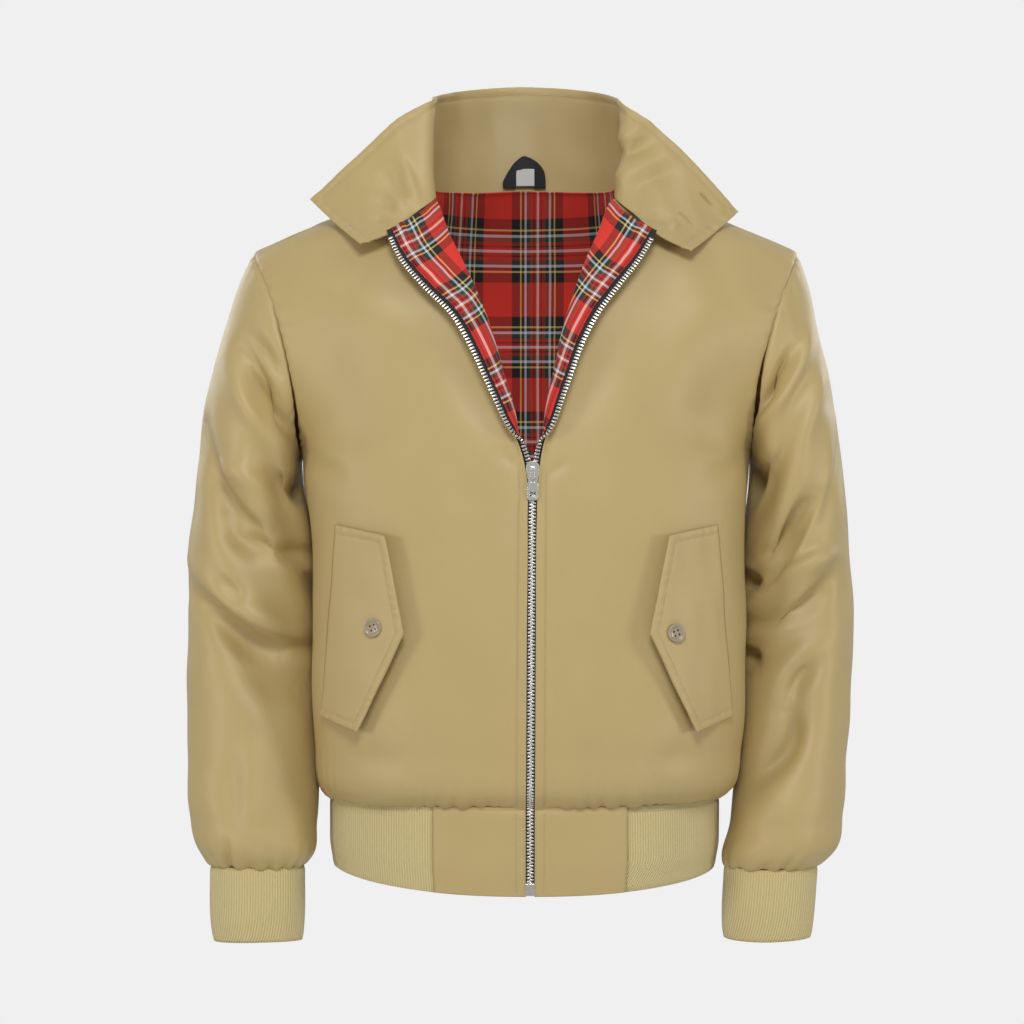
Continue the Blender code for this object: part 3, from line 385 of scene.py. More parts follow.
# Each sleeve as rings: the ring's outermost and innermost points, its middle and its half depth.
SLEEVE = {
    "right": table(
        "down outer_x outer_z inner_x inner_z y deep",
        (0.00, -0.2430, -0.0670, -0.2005, -0.2460, 0.005, 0.0725),
        (0.05, -0.2535, -0.0910, -0.2030, -0.2580, 0.004, 0.0740),
        (0.12, -0.2655, -0.1270, -0.2005, -0.2780, 0.003, 0.0755),
        (0.21, -0.2790, -0.1720, -0.1925, -0.3020, 0.002, 0.0755),
        (0.30, -0.2895, -0.2190, -0.1870, -0.3310, 0.002, 0.0750),
        (0.42, -0.2960, -0.2890, -0.1840, -0.3670, 0.004, 0.0730),
        (0.52, -0.3025, -0.3430, -0.1830, -0.4020, 0.005, 0.0700),
        (0.62, -0.3015, -0.3950, -0.1840, -0.4400, 0.003, 0.0670),
        (0.72, -0.3015, -0.4510, -0.1840, -0.4820, -0.004, 0.0630),
        (0.84, -0.3000, -0.5150, -0.1835, -0.5320, -0.014, 0.0590),
        (0.93, -0.2970, -0.5650, -0.1860, -0.5760, -0.023, 0.0550),
        (0.98, -0.2890, -0.5985, -0.1880, -0.6035, -0.030, 0.0450),
        (1.00, -0.2780, -0.6130, -0.1960, -0.6130, -0.033, 0.0311),
    ),
    "left": table(
        "down outer_x outer_z inner_x inner_z y deep",
        (0.00, 0.2450, -0.0670, 0.2025, -0.2460, 0.005, 0.0725),
        (0.05, 0.2530, -0.0910, 0.2050, -0.2580, 0.004, 0.0740),
        (0.12, 0.2618, -0.1270, 0.2040, -0.2780, 0.003, 0.0755),
        (0.21, 0.2712, -0.1720, 0.2005, -0.3020, 0.002, 0.0755),
        (0.30, 0.2795, -0.2190, 0.1965, -0.3310, 0.002, 0.0750),
        (0.42, 0.2885, -0.2890, 0.1945, -0.3670, 0.004, 0.0730),
        (0.52, 0.2925, -0.3430, 0.1935, -0.4020, 0.005, 0.0700),
        (0.62, 0.2955, -0.3950, 0.1930, -0.4400, 0.003, 0.0670),
        (0.72, 0.2925, -0.4510, 0.1915, -0.4820, -0.004, 0.0630),
        (0.84, 0.2870, -0.5150, 0.1890, -0.5320, -0.014, 0.0590),
        (0.93, 0.2825, -0.5650, 0.1840, -0.5760, -0.023, 0.0550),
        (0.98, 0.2735, -0.6000, 0.1765, -0.6045, -0.030, 0.0450),
        (1.00, 0.2585, -0.6140, 0.1775, -0.6140, -0.033, 0.0311),
    ),
}
CUFF = {  # each cuff's middle and half width, at its top and its bottom
    "right": table(
        "z x y wide deep",
        (-0.6765, -0.2355, -0.040, 0.0385, 0.0260),
        (-0.6640, -0.2360, -0.039, 0.0400, 0.0285),
        (-0.6130, -0.2370, -0.033, 0.0410, 0.0310),
    ),
    "left": table(
        "z x y wide deep",
        (-0.6750, 0.2140, -0.040, 0.0380, 0.0260),
        (-0.6630, 0.2145, -0.039, 0.0392, 0.0285),
        (-0.6140, 0.2180, -0.033, 0.0405, 0.0310),
    ),
}
# The largest folds: each runs along a sleeve from (down, turn) to (down, turn), with turn in degrees from
# the outer edge towards the front; depth is inwards.
FOLDS = {
    "right": table(
        "down_a turn_a down_b turn_b depth width",
        (0.16, 95, 0.40, 150, 0.012, 0.055),
        (0.30, 35, 0.56, 140, 0.010, 0.060),
        (0.55, 20, 0.66, 150, 0.011, 0.050),
        (0.40, 150, 0.48, 185, 0.008, 0.045),
        (0.30, 230, 0.56, 300, 0.009, 0.060),
        (0.56, 215, 0.66, 320, 0.009, 0.050),
    ),
    "left": table(
        "down_a turn_a down_b turn_b depth width",
        (0.14, 85, 0.30, 150, 0.010, 0.050),
        (0.32, 50, 0.52, 140, 0.012, 0.055),
        (0.56, 45, 0.62, 150, 0.011, 0.050),
        (0.66, 80, 0.86, 125, 0.009, 0.050),
        (0.30, 230, 0.54, 300, 0.009, 0.060),
        (0.58, 215, 0.68, 320, 0.009, 0.050),
    ),
}
# The collar at stations round the neck, from its right end over the nape to its left end: its foot, its
# top edge, and how much it bows out between them.
COLLAR = table(
    "along foot_x foot_y foot_z top_x top_y top_z",
    (0.00, -0.1420, -0.0940, -0.0690, -0.1890, -0.0390, -0.0240),
    (0.09, -0.1134, -0.0930, -0.0585, -0.1520, -0.0450, 0.0090),
    (0.17, -0.0960, -0.0805, -0.0420, -0.1120, -0.0470, 0.0455),
    (0.25, -0.0785, -0.0620, -0.0250, -0.0800, -0.0410, 0.0645),
    (0.33, -0.0865, 0.0000, -0.0060, -0.0810, 0.0300, 0.0790),
    (0.41, -0.0670, 0.0570, -0.0020, -0.0610, 0.0860, 0.0928),
    (0.50, 0.0000, 0.0820, 0.0020, 0.0000, 0.1060, 0.1003),
    (0.59, 0.0670, 0.0570, -0.0020, 0.0620, 0.0860, 0.0928),
    (0.67, 0.0865, 0.0000, -0.0060, 0.0835, 0.0300, 0.0780),
    (0.75, 0.0800, -0.0620, -0.0255, 0.0865, -0.0410, 0.0605),
    (0.83, 0.0965, -0.0805, -0.0430, 0.1170, -0.0470, 0.0380),
    (0.91, 0.1140, -0.0930, -0.0605, 0.1540, -0.0450, 0.0020),
    (1.00, 0.1435, -0.0940, -0.0750, 0.1885, -0.0390, -0.0350),
)
COLLAR_BOW = 0.003
# A pocket flap, from its top to its bottom: its sewn edge and its free edge, from the body's middle.
FLAP = table(
    "down sewn_half sewn_z free_half free_z",
    (0.00, 0.1625, -0.3110, 0.1160, -0.3205),
    (0.50, 0.1690, -0.3950, 0.1010, -0.4030),
    (1.00, 0.1755, -0.4760, 0.1380, -0.4860),
)
FLAP_AXIS = 0.0018
FLAP_LIFT = 0.0045  # the free edge stands off the panel
FLAP_GAP = {"right": 0.0014, "left": 0.0008}

# %% [markdown]
# Surfaces. Each function gives points of one piece's middle surface. A panel is a row of points from its
# inner edge round to its side, for each height; a sleeve is a ring for each step down the arm.

# %% Surfaces of the body and the sleeves
def quarter(turn, wrap, square):
    """(across, round) of a rounded corner, both from 0 to 1, as turn goes from 0 to 1."""
    angle, last = turn * np.radians(wrap), np.radians(wrap)
    across = np.sin(angle) ** (2 / square) / np.sin(last) ** (2 / square)
    depth = 1 - np.maximum(np.cos(angle), 0) ** (2 / square)
    return across, depth / (1 - max(np.cos(last), 0) ** (2 / square))


def side_edge(up, side, back):
    """The side seam, and above the armpit the armhole's front or back edge."""
    sign = SIDES[side]
    if up <= ARMPIT_UP:
        half, axis, y, z = (read(SIDE_SEAM, c, up) for c in ("half", "axis", "y", "z"))
        return np.array([axis + sign * half, y, z])
    turn = math.pi * (1 - (up - ARMPIT_UP) / (1 - ARMPIT_UP))
    return sleeve_ring(side, 0.0, np.array([-turn if back else turn]))[0]


def sleeve_ring(side, down, turn):
    """Points of a sleeve's ring: turn is 0 at its outer edge, and a quarter turn is its front."""
    tab = SLEEVE[side]
    names = ("outer_x", "outer_z", "inner_x", "inner_z", "y", "deep")
    outer_x, outer_z, inner_x, inner_z, y, deep = (read(tab, c, down) for c in names)
    armhole = ease(1 - down / 0.25)
    front = deep + (ARMHOLE_FRONT - deep) * armhole
    back = deep + (ARMHOLE_BACK - deep) * armhole
    cos, sin = np.cos(turn), np.sin(turn)
    bow = -SIDES[side] * ARMHOLE_BOW * armhole * sin**2
    x = (outer_x + inner_x) / 2 + (outer_x - inner_x) / 2 * cos + bow
    z = (outer_z + inner_z) / 2 + (outer_z - inner_z) / 2 * cos
    return np.stack([x, y - np.where(sin > 0, front, back) * sin, z], axis=-1)


def row_between(middle, edge, up, square, across):
    """A row of a panel from its middle point round to its side edge, evenly spaced along the cloth."""
    dense = np.linspace(0, 1, 81)
    wrap = float(read(ROW_SHAPE, "wrap", up))
    over, round_it = quarter(dense, wrap, float(read(ROW_SHAPE, square, up)))
    x = middle[0] + (edge[0] - middle[0]) * over
    y = middle[1] + (edge[1] - middle[1]) * round_it
    z = middle[2] + (edge[2] - middle[2]) * over
    points = np.stack([x, y, z], axis=-1)
    length = np.concatenate([[0], np.cumsum(np.linalg.norm(np.diff(points, axis=0), axis=1))])
    at = np.asarray(across) * length[-1]
    return np.stack([np.interp(at, length, points[:, k]) for k in range(3)], axis=-1)


def front_row(side, up, across):
    half, axis, y, z = (read(FRONT_EDGE, c, up) for c in ("half", "axis", "y", "z"))
    middle = np.array([axis + SIDES[side] * half, y, z])
    row = row_between(middle, side_edge(up, side, False), up, "front_square", across)
    row[:, 2] += CROWN * ease((up - 0.80) / 0.20) * np.sin(math.pi * np.asarray(across))
    return row


def front_grid(side, ups, across):
    return np.array([front_row(side, up, across) for up in ups])


def lapel_grid(side, ups, outs):
    """The strip beside the zip, which turns out over the chest above the slider. outs is 0 at the front
    panel's inner edge and 1 at the finished edge; past 1 it runs straight on."""
    rows = []
    for up, outs in zip(ups, np.broadcast_to(outs, (len(ups), np.shape(outs)[-1]))):
        start, next_in = front_row(side, up, [0.0, 0.02])
        towards = (start - next_in) / np.linalg.norm(start - next_in)
        axis = float(read(FRONT_EDGE, "axis", up))
        half, y, z = (float(read(ZIP_EDGE, c, up)) for c in (side, "y", "z"))
        tip = np.array([axis + SIDES[side] * half, y, z])
        chord = np.linalg.norm(tip - start)
        turned = float(ease((up - TURN_UP) / 0.07))
        reach = chord / 3 * (1 - turned) + min(chord / 3, 0.011) * turned
        outward = np.array([SIDES[side] * 0.9, -0.10, -0.35])
        forward = towards * (1 - turned) + outward / np.linalg.norm(outward) * turned
        pull = tip - forward * chord / 3
        t = np.clip(outs, 0, 1)[:, None]
        line = (1 - t) ** 3 * start + 3 * (1 - t) ** 2 * t * (start + towards * reach)
        line = line + 3 * (1 - t) * t * t * pull + t**3 * tip
        past = np.maximum(outs - 1, 0)[:, None] * chord
        rows.append(line + past * forward / np.linalg.norm(forward))
    return np.array(rows)


def back_grid(ups, across):
    """The back, with across from -1 at the right side to 1 at the left."""
    neck = 0.43  # share of the top row that is neck
    rows = []
    for up in ups:
        middle = np.array([0.0, *(read(BACK_MIDDLE, c, up) for c in ("y", "z"))])
        row = np.empty((len(across), 3))
        for side, sign in SIDES.items():
            chosen = across * sign >= 0
            shares = np.abs(across[chosen])
            edge = side_edge(up, side, True)
            points = row_between(middle, edge, up, "back_square", shares)
            top_edge = side_edge(1.0, side, True)
            top = row_between(np.array([0, 0.082, 0.0]), top_edge, 1.0, "back_square", shares)
            turn = np.clip(shares / neck, 0, 1) * math.pi / 2
            neckline = np.stack(
                [sign * NECK_HALF * np.sin(turn), 0.005 + 0.077 * np.cos(turn), -0.008 * np.sin(turn) ** 2],
                axis=-1,
            )
            out = np.clip((shares - neck) / (1 - neck), 0, 1)[:, None]
            crown = CROWN * np.sin(math.pi * out) * np.array([0, 0, 1.0])
            ridge = neckline + out * (top_edge - neckline) + crown
            row[chosen] = points + ease((up - 0.80) / 0.20) * (ridge - top)
        rows.append(row)
    return np.array(rows)


def fold_depth(side, down, turn):
    """How far the sleeve's folds move the cloth inwards, at one ring."""
    total = np.zeros(len(turn))
    tab = FOLDS[side]
    round_it = 0.065  # metres of cloth in one radian of turn
    along = 0.58  # metres of cloth from armhole to cuff
    degrees = np.degrees(turn) % 360
    for a_down, a_turn, b_down, b_turn, depth, width in zip(*tab.values()):
        a = np.array([a_down * along, math.radians(a_turn) * round_it])
        b = np.array([b_down * along, math.radians(b_turn) * round_it])
        p = np.stack([np.full(len(turn), down * along), np.radians(degrees) * round_it], axis=-1)
        t = np.clip(((p - a) @ (b - a)) / ((b - a) @ (b - a)), 0, 1)
        away = np.linalg.norm(p - a - t[:, None] * (b - a), axis=1) / (width / 2)
        total += depth * np.exp(-(away**2)) * (0.35 + 0.65 * np.sin(math.pi * t))
    return total * ease(down / 0.10) * ease((1 - down) / 0.06)


def sleeve_grid(side, downs, turns):
    rows = []
    for down in downs:
        ring = sleeve_ring(side, down, turns)
        middle = ring.mean(axis=0)
        inwards = middle - ring
        inwards /= np.linalg.norm(inwards, axis=1)[:, None]
        rows.append(ring + inwards * fold_depth(side, down, turns)[:, None])
    return np.array(rows)


def band_plan(side, lengths):
    """Points of the hem band's plan, this far round from the zip; with no lengths, its whole length."""
    turn = np.linspace(0, 1, 200)
    over, round_it = quarter(turn, 90, 2.5)
    sign = SIDES[side]
    front_x = BAND_AXIS + (sign * BAND_HALF - BAND_AXIS) * over
    front = np.stack([front_x, BAND_FRONT * (1 - round_it)], axis=-1)
    back = np.stack([sign * BAND_HALF * over, BAND_BACK * (1 - round_it)], axis=-1)[::-1]
    points = np.concatenate([front, back[1:]])
    length = np.concatenate([[0], np.cumsum(np.linalg.norm(np.diff(points, axis=0), axis=1))])
    if lengths is None:
        return length[-1]
    return np.stack([np.interp(lengths, length, points[:, k]) for k in range(2)], axis=-1)


def band_rows(plan, shares):
    """Rows of the hem band up from a plan; its lower edge draws in a little."""
    top = BAND_TOP - 0.0012
    rows = []
    for share in shares:
        tuck = 1 - 0.016 * float(ease((share - 0.6) / 0.4))
        rise = BAND_RISE * np.clip(np.abs(plan[:, :1] - BAND_AXIS) / BAND_HALF, 0, 1) ** 2.2
        rise[plan[:, 1] > 0] = BAND_RISE
        z = top + (BAND_BOTTOM + rise - top) * share
        rows.append(np.concatenate([plan * tuck, z], axis=1))
    return np.array(rows)


def collar_grid(alongs, ups):
    """The collar, up from 0 at its foot to 1 at its top edge."""
    foot = np.stack([read(COLLAR, f"foot_{k}", alongs) for k in "xyz"], axis=-1)
    top = np.stack([read(COLLAR, f"top_{k}", alongs) for k in "xyz"], axis=-1)
    round_it = np.gradient(foot, axis=0)
    out = np.cross(top - foot, round_it)
    out /= np.linalg.norm(out, axis=-1)[:, None]
    return np.array([foot + up * (top - foot) + out * COLLAR_BOW * math.sin(math.pi * up) for up in ups])


def normals(grid, closed=False):
    """Unit normals of a grid of points, by its rows and columns."""
    if closed:
        around = np.roll(grid, -1, axis=1) - np.roll(grid, 1, axis=1)
    else:
        around = np.gradient(grid, axis=1)
    up = np.gradient(grid, axis=0)
    n = np.cross(around, up)
    return n / np.maximum(np.linalg.norm(n, axis=-1), 1e-12)[..., None]


def front_surfaces(side, ups, across, outs):
    """The panel and the turned strip of one front, each with its outward normals, alike where they join."""
    lapel_ups = ups[ups <= LAPEL_UP]
    panel, lapel = front_grid(side, ups, across), lapel_grid(side, lapel_ups, outs)
    panel_out, lapel_out = normals(panel) * SIDES[side], -normals(lapel) * SIDES[side]
    shared = panel_out[: len(lapel_ups), 0] + lapel_out[:, 0]
    shared /= np.linalg.norm(shared, axis=-1)[:, None]
    panel_out[: len(lapel_ups), 0] = shared
    lapel_out[:, 0] = shared
    return panel, panel_out, lapel, lapel_out


def on_front(side, x, z):
    """The front's point with this x and z, and its outward normal there."""
    up, share = 0.3, 0.5
    for _ in range(12):
        here = front_row(side, up, [share])[0]
        by_up = (front_row(side, up + 0.002, [share])[0] - here) / 0.002
        by_share = (front_row(side, up, [share + 0.002])[0] - here) / 0.002
        step = np.linalg.solve(
            np.array([[by_up[0], by_share[0]], [by_up[2], by_share[2]]]), np.array([x - here[0], z - here[2]])
        )
        up, share = np.clip([up + step[0], share + step[1]], [0, 0], [0.99, 0.99])
    out = np.cross(by_share, by_up) * SIDES[side]
    return here, out / np.linalg.norm(out)


def flap_point(side, down, across):
    """A flap's middle surface: across is 0 at its sewn edge and 1 at its free edge."""
    names = ("sewn_half", "sewn_z", "free_half", "free_z")
    sewn_half, sewn_z, free_half, free_z = (np.interp(down, FLAP["down"], FLAP[c]) for c in names)
    half = sewn_half + (free_half - sewn_half) * across
    z = sewn_z + (free_z - sewn_z) * across
    here, out = on_front(side, FLAP_AXIS + SIDES[side] * half, z)
    lift = SHELL / 2 + DOUBLED / 2 + FLAP_GAP[side] + FLAP_LIFT * across**2
    return here + out * lift, out

# %% [markdown]
# Cloth from a grid. A piece is a grid of points on its middle surface, joined into faces, with a Solidify
# for its thickness. Every point also stores two lengths along the cloth, so that a weave, a rib or a
# tartan keeps its real size however the cloth bends.

# %% Making cloth
def run_of(points):
    """The length along a line of points, at each point."""
    return np.concatenate([[0], np.cumsum(np.linalg.norm(np.diff(points, axis=0), axis=1))])


def between(run, points, at):
    """The point at this length along a line."""
    return np.array([np.interp(at, run, points[:, k]) for k in range(3)])


def spaced(line, first, last, step, fine="both"):
    """Values of a surface's parameter, evenly spaced along the cloth, and closer together beside a seam."""
    dense = np.linspace(first, last, 120)
    run = run_of(np.array([line(t) for t in dense]))
    at = np.linspace(0, run[-1], max(2, round(run[-1] / step)) + 1)
    near = np.array([0.0007, 0.0014, 0.0022])
    if fine in ("both", "first"):
        at = np.append(at, near)
    if fine in ("both", "last"):
        at = np.append(at, run[-1] - near)
    return np.interp(np.unique(at), run, dense)


def down_each(grid):
    """The length along each column of a grid of points, from its first row."""
    steps = np.linalg.norm(np.diff(grid, axis=0), axis=-1)
    return np.concatenate([np.zeros((1, grid.shape[1])), np.cumsum(steps, axis=0)])


def lengths(grid, closed=False):
    """The two lengths along the cloth at each point: along its row, and up from the first row."""
    rows = np.concatenate([grid, grid[:, :1]], axis=1) if closed else grid
    u = down_each(rows.swapaxes(0, 1)).T
    step = np.linalg.norm(np.diff(rows, axis=0), axis=-1).mean(axis=1)
    v = np.concatenate([[0], np.cumsum(step)])
    return np.stack([u, np.broadcast_to(v[:, None], u.shape)], axis=-1)


def cloth(name, grids, thick, finish, closed=False, flats=None):
    """A thin wall of cloth from open grids that share their edge points, or from one closed ring of rows."""
    flats = [lengths(g, closed) for g in grids] if flats is None else flats
    points, faces, maps, first = [], [], [], 0
    for grid, flat in zip(grids, flats):
        high, wide = grid.shape[:2]
        r, c = np.meshgrid(np.arange(high - 1), np.arange(wide if closed else wide - 1), indexing="ij")
        corners = [(r, c), (r, c + 1), (r + 1, c + 1), (r + 1, c)]
        faces.append(np.stack([first + a * wide + b % wide for a, b in corners], axis=-1).reshape(-1, 4))
        maps.append(np.stack([flat[a, b] for a, b in corners], axis=2).reshape(-1, 2))
        points.append(grid.reshape(-1, 3))
        first += high * wide
    mesh = bpy.data.meshes.new(name)
    mesh.from_pydata(np.concatenate(points).tolist(), [], np.concatenate(faces).tolist())
    mesh.uv_layers.new(name="cloth").data.foreach_set("uv", np.concatenate(maps).astype(np.float32).ravel())
    bm = bmesh.new()
    bm.from_mesh(mesh)
    bmesh.ops.remove_doubles(bm, verts=bm.verts, dist=1e-5)
    bmesh.ops.recalc_face_normals(bm, faces=bm.faces)
    bm.to_mesh(mesh)
    bm.free()
    mesh.shade_smooth()
    mesh.materials.append(finish)
    made = bpy.data.objects.new(name, mesh)
    bpy.context.scene.collection.objects.link(made)
    if thick:
        wall = made.modifiers.new("wall", "SOLIDIFY")
        wall.thickness, wall.offset = thick, 0
    return made


def dress(piece, stands_for, grids=(), closed=False, body="jacket"):
    """The piece rides on its body and stands for its CAD nodes, which it hides. For cloth, the width and
    length of its cut are worked out but not used.
    """
    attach(piece, body)
    if stands_for:
        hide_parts(*stands_for)
    if len(grids):
        wide = max(float(lengths(g, closed)[..., 0].max()) for g in grids)
        if len(grids) > 1:
            wide = sum(float(lengths(g, closed)[..., 0].max()) for g in grids)
        long = max(float(lengths(g, closed)[..., 1].max()) for g in grids)
    return piece


# %% [markdown]
# Creases. Cloth that hangs from a shoulder and bends at an elbow gathers into a few real folds, and they
# decide how the sleeve looks, so each is listed: a curve through three points, how wide it is to
# each side, and how deep. A trough goes inwards, and a ridge (a negative depth) stands out. No two have
# the same length, depth or spacing. Beside seams come small puckers, from thread drawn tighter than cloth.

# %% Creases and puckers
def crease_depth(points, tab, cut=1.0, lift=1.0):
    """How far the creases of a table move each point inwards, as they are seen square from the front. cut
    deepens its valleys, and lift raises its ridges."""
    flat = points.reshape(-1, 3)[:, [0, 2]]
    total = np.zeros(len(flat))
    t = np.linspace(0, 1, 49)[:, None]
    for row in zip(*tab.values()):
        a, b, c = (np.array(row[i : i + 2]) for i in (0, 2, 4))
        wide, deep, lean = row[6:]
        pull = 2 * b - (a + c) / 2
        line = (1 - t) ** 2 * a + 2 * t * (1 - t) * pull + t**2 * c
        way = np.gradient(line, axis=0)
        way /= np.linalg.norm(way, axis=1)[:, None]
        close = np.abs(flat - line[24]).max(axis=1) < 0.13
        gap = flat[close][:, None] - line[None]
        nearest = (gap**2).sum(axis=-1).argmin(axis=1)
        gap = gap[np.arange(len(gap)), nearest]
        along = (gap * way[nearest]).sum(axis=-1)
        off = gap[:, 0] * way[nearest, 1] - gap[:, 1] * way[nearest, 0]
        past = np.where((nearest == 0) | (nearest == 48), along, 0)
        width = wide * (1 + lean * np.sign(off))
        taper = 0.25 + 0.75 * np.sin(math.pi * nearest / 48)
        deep *= cut if deep > 0 else lift
        total[close] += deep * taper * np.exp(-((off / width) ** 2) - (past / wide) ** 2)
    return total.reshape(points.shape[:-1])


def puckers(along, away, pitch, high, reach, seed=0.0):
    """Small gathers square to a seam, uneven in spacing and height, dying away from it."""
    drift = 0.4 * pitch * np.sin(along / (pitch * 2.3) + seed)
    drift = drift + 0.3 * pitch * np.sin(along / (pitch * 0.9) + 2 * seed)
    swing = np.sin(2 * math.pi * (along + drift) / pitch + seed)
    swing = swing * (0.6 + 0.4 * np.sin(along / (pitch * 1.7) + 3 * seed))
    return high * swing * np.exp(-((away / reach) ** 1.5))


def bell(away, wide):
    """A smooth bump: 1 here, and near nothing at twice this width."""
    return np.exp(-((away / wide) ** 2))


def seam_dip(away, deep=0.0011, wide=0.0022):
    """The cloth turns in at a seam."""
    return deep * bell(away, wide)


def undulate(points, size, high, seed):
    """Very gentle unevenness, so that a long highlight isn't ruler straight."""
    x, z = points[..., 0] + 0.6 * points[..., 1], points[..., 2]
    first = np.sin(2 * math.pi * (0.92 * x + 0.39 * z) / size + seed)
    second = np.sin(2 * math.pi * (0.81 * z - 0.58 * x) / (1.37 * size) + 1.7 * seed)
    third = np.sin(2 * math.pi * (0.31 * z + 0.95 * x) / (0.61 * size) + 2.9 * seed)
    return high * (0.5 * first * second + 0.3 * second + 0.2 * third)


CREASE = "x0 z0 x1 z1 x2 z2 wide deep lean"
SLEEVE_CREASES = {
    "right": table(
        CREASE,
        (-0.247, -0.156, -0.221, -0.200, -0.202, -0.230, 0.0080, 0.0095, 0.15),
        (-0.242, -0.144, -0.225, -0.163, -0.207, -0.181, 0.0080, 0.0045, 0.00),
        (-0.262, -0.165, -0.240, -0.212, -0.216, -0.248, 0.0085, -0.0050, 0.10),
        (-0.286, -0.224, -0.262, -0.290, -0.224, -0.318, 0.0100, 0.0075, 0.20),
        (-0.276, -0.262, -0.247, -0.268, -0.226, -0.290, 0.0090, -0.0035, 0.00),
        (-0.219, -0.268, -0.205, -0.281, -0.192, -0.292, 0.0080, 0.0060, 0.00),
        (-0.265, -0.310, -0.235, -0.331, -0.186, -0.336, 0.0090, 0.0058, 0.10),
        (-0.298, -0.344, -0.245, -0.386, -0.194, -0.413, 0.0090, -0.0065, -0.20),
        (-0.272, -0.355, -0.258, -0.369, -0.244, -0.381, 0.0070, 0.0045, 0.00),
        (-0.281, -0.374, -0.239, -0.413, -0.187, -0.419, 0.0100, 0.0070, 0.15),
        (-0.262, -0.418, -0.225, -0.446, -0.187, -0.452, 0.0210, 0.0048, 0.00),
        (-0.260, -0.585, -0.259, -0.600, -0.257, -0.617, 0.0035, 0.0022, 0.00),
        (-0.253, -0.500, -0.255, -0.540, -0.253, -0.580, 0.0120, 0.0030, 0.00),
    ),
    "left": table(
        CREASE,
        (0.249, -0.139, 0.234, -0.179, 0.197, -0.232, 0.0065, -0.0065, -0.15),
        (0.234, -0.161, 0.221, -0.186, 0.201, -0.215, 0.0070, 0.0075, 0.10),
        (0.259, -0.174, 0.254, -0.200, 0.244, -0.237, 0.0070, -0.0045, 0.00),
        (0.269, -0.218, 0.257, -0.285, 0.231, -0.354, 0.0080, -0.0065, 0.15),
        (0.253, -0.285, 0.238, -0.311, 0.217, -0.335, 0.0080, 0.0085, 0.10),
        (0.214, -0.258, 0.204, -0.275, 0.194, -0.291, 0.0080, 0.0065, 0.00),
        (0.244, -0.312, 0.229, -0.329, 0.204, -0.341, 0.0070, 0.0050, 0.00),
        (0.204, -0.354, 0.199, -0.363, 0.197, -0.372, 0.0090, 0.0065, 0.00),
        (0.272, -0.339, 0.246, -0.347, 0.193, -0.389, 0.0080, -0.0065, -0.15),
        (0.274, -0.349, 0.249, -0.383, 0.199, -0.401, 0.0085, 0.0075, 0.15),
        (0.202, -0.420, 0.199, -0.430, 0.197, -0.440, 0.0090, 0.0065, 0.00),
        (0.259, -0.433, 0.242, -0.446, 0.231, -0.472, 0.0090, 0.0055, 0.10),
        (0.231, -0.478, 0.228, -0.508, 0.192, -0.539, 0.0100, 0.0055, 0.00),
    ),
}
# The same kinds of folds on the backs of the sleeves, which bend less.
BACK_CREASES = {
    "right": table(
        CREASE,
        (-0.256, -0.140, -0.236, -0.190, -0.205, -0.226, 0.0110, 0.0070, 0.10),
        (-0.282, -0.205, -0.262, -0.262, -0.222, -0.298, 0.0100, 0.0060, 0.15),
        (-0.286, -0.330, -0.246, -0.352, -0.200, -0.352, 0.0100, -0.0050, 0.00),
        (-0.288, -0.392, -0.240, -0.404, -0.196, -0.432, 0.0110, 0.0070, 0.10),
        (-0.262, -0.470, -0.236, -0.500, -0.205, -0.512, 0.0110, 0.0050, 0.00),
    ),
    "left": table(
        CREASE,
        (0.250, -0.132, 0.230, -0.182, 0.203, -0.214, 0.0100, 0.0065, 0.10),
        (0.276, -0.214, 0.252, -0.276, 0.218, -0.302, 0.0110, 0.0065, 0.15),
        (0.280, -0.322, 0.244, -0.348, 0.205, -0.360, 0.0100, -0.0055, 0.00),
        (0.283, -0.384, 0.238, -0.402, 0.204, -0.424, 0.0100, 0.0065, 0.10),
        (0.252, -0.478, 0.230, -0.512, 0.196, -0.520, 0.0110, 0.0050, 0.00),
    ),
}
# The fronts hang almost smooth. The slider drags at them a little, and the armhole pulls at the chest.
FRONT_CREASES = table(
    CREASE,
    (-0.020, -0.250, -0.013, -0.256, -0.006, -0.262, 0.0040, 0.0016, 0.00),
    (0.034, -0.258, 0.026, -0.264, 0.018, -0.268, 0.0040, 0.0016, 0.00),
    (-0.030, -0.225, -0.045, -0.200, -0.062, -0.165, 0.0120, 0.0022, 0.00),
    (0.040, -0.225, 0.054, -0.200, 0.070, -0.165, 0.0120, 0.0022, 0.00),
    (-0.196, -0.246, -0.176, -0.262, -0.150, -0.270, 0.0110, 0.0040, 0.00),
    (0.198, -0.246, 0.178, -0.262, 0.152, -0.270, 0.0110, 0.0040, 0.00),
    (-0.150, -0.520, -0.128, -0.512, -0.108, -0.520, 0.0140, 0.0025, 0.00),
    (0.160, -0.516, 0.136, -0.508, 0.112, -0.516, 0.0140, 0.0025, 0.00),
    (-0.150, -0.105, -0.125, -0.130, -0.095, -0.150, 0.0260, -0.0040, 0.00),
    (-0.185, -0.130, -0.165, -0.180, -0.120, -0.215, 0.0240, 0.0035, 0.00),
    (0.150, -0.100, 0.150, -0.140, 0.120, -0.180, 0.0260, -0.0035, 0.00),
    (0.186, -0.150, 0.170, -0.205, 0.110, -0.240, 0.0240, 0.0035, 0.00),
    (-0.060, -0.300, -0.080, -0.370, -0.075, -0.450, 0.0280, 0.0025, 0.00),
    (0.060, -0.290, 0.085, -0.380, 0.070, -0.470, 0.0280, 0.0025, 0.00),
)
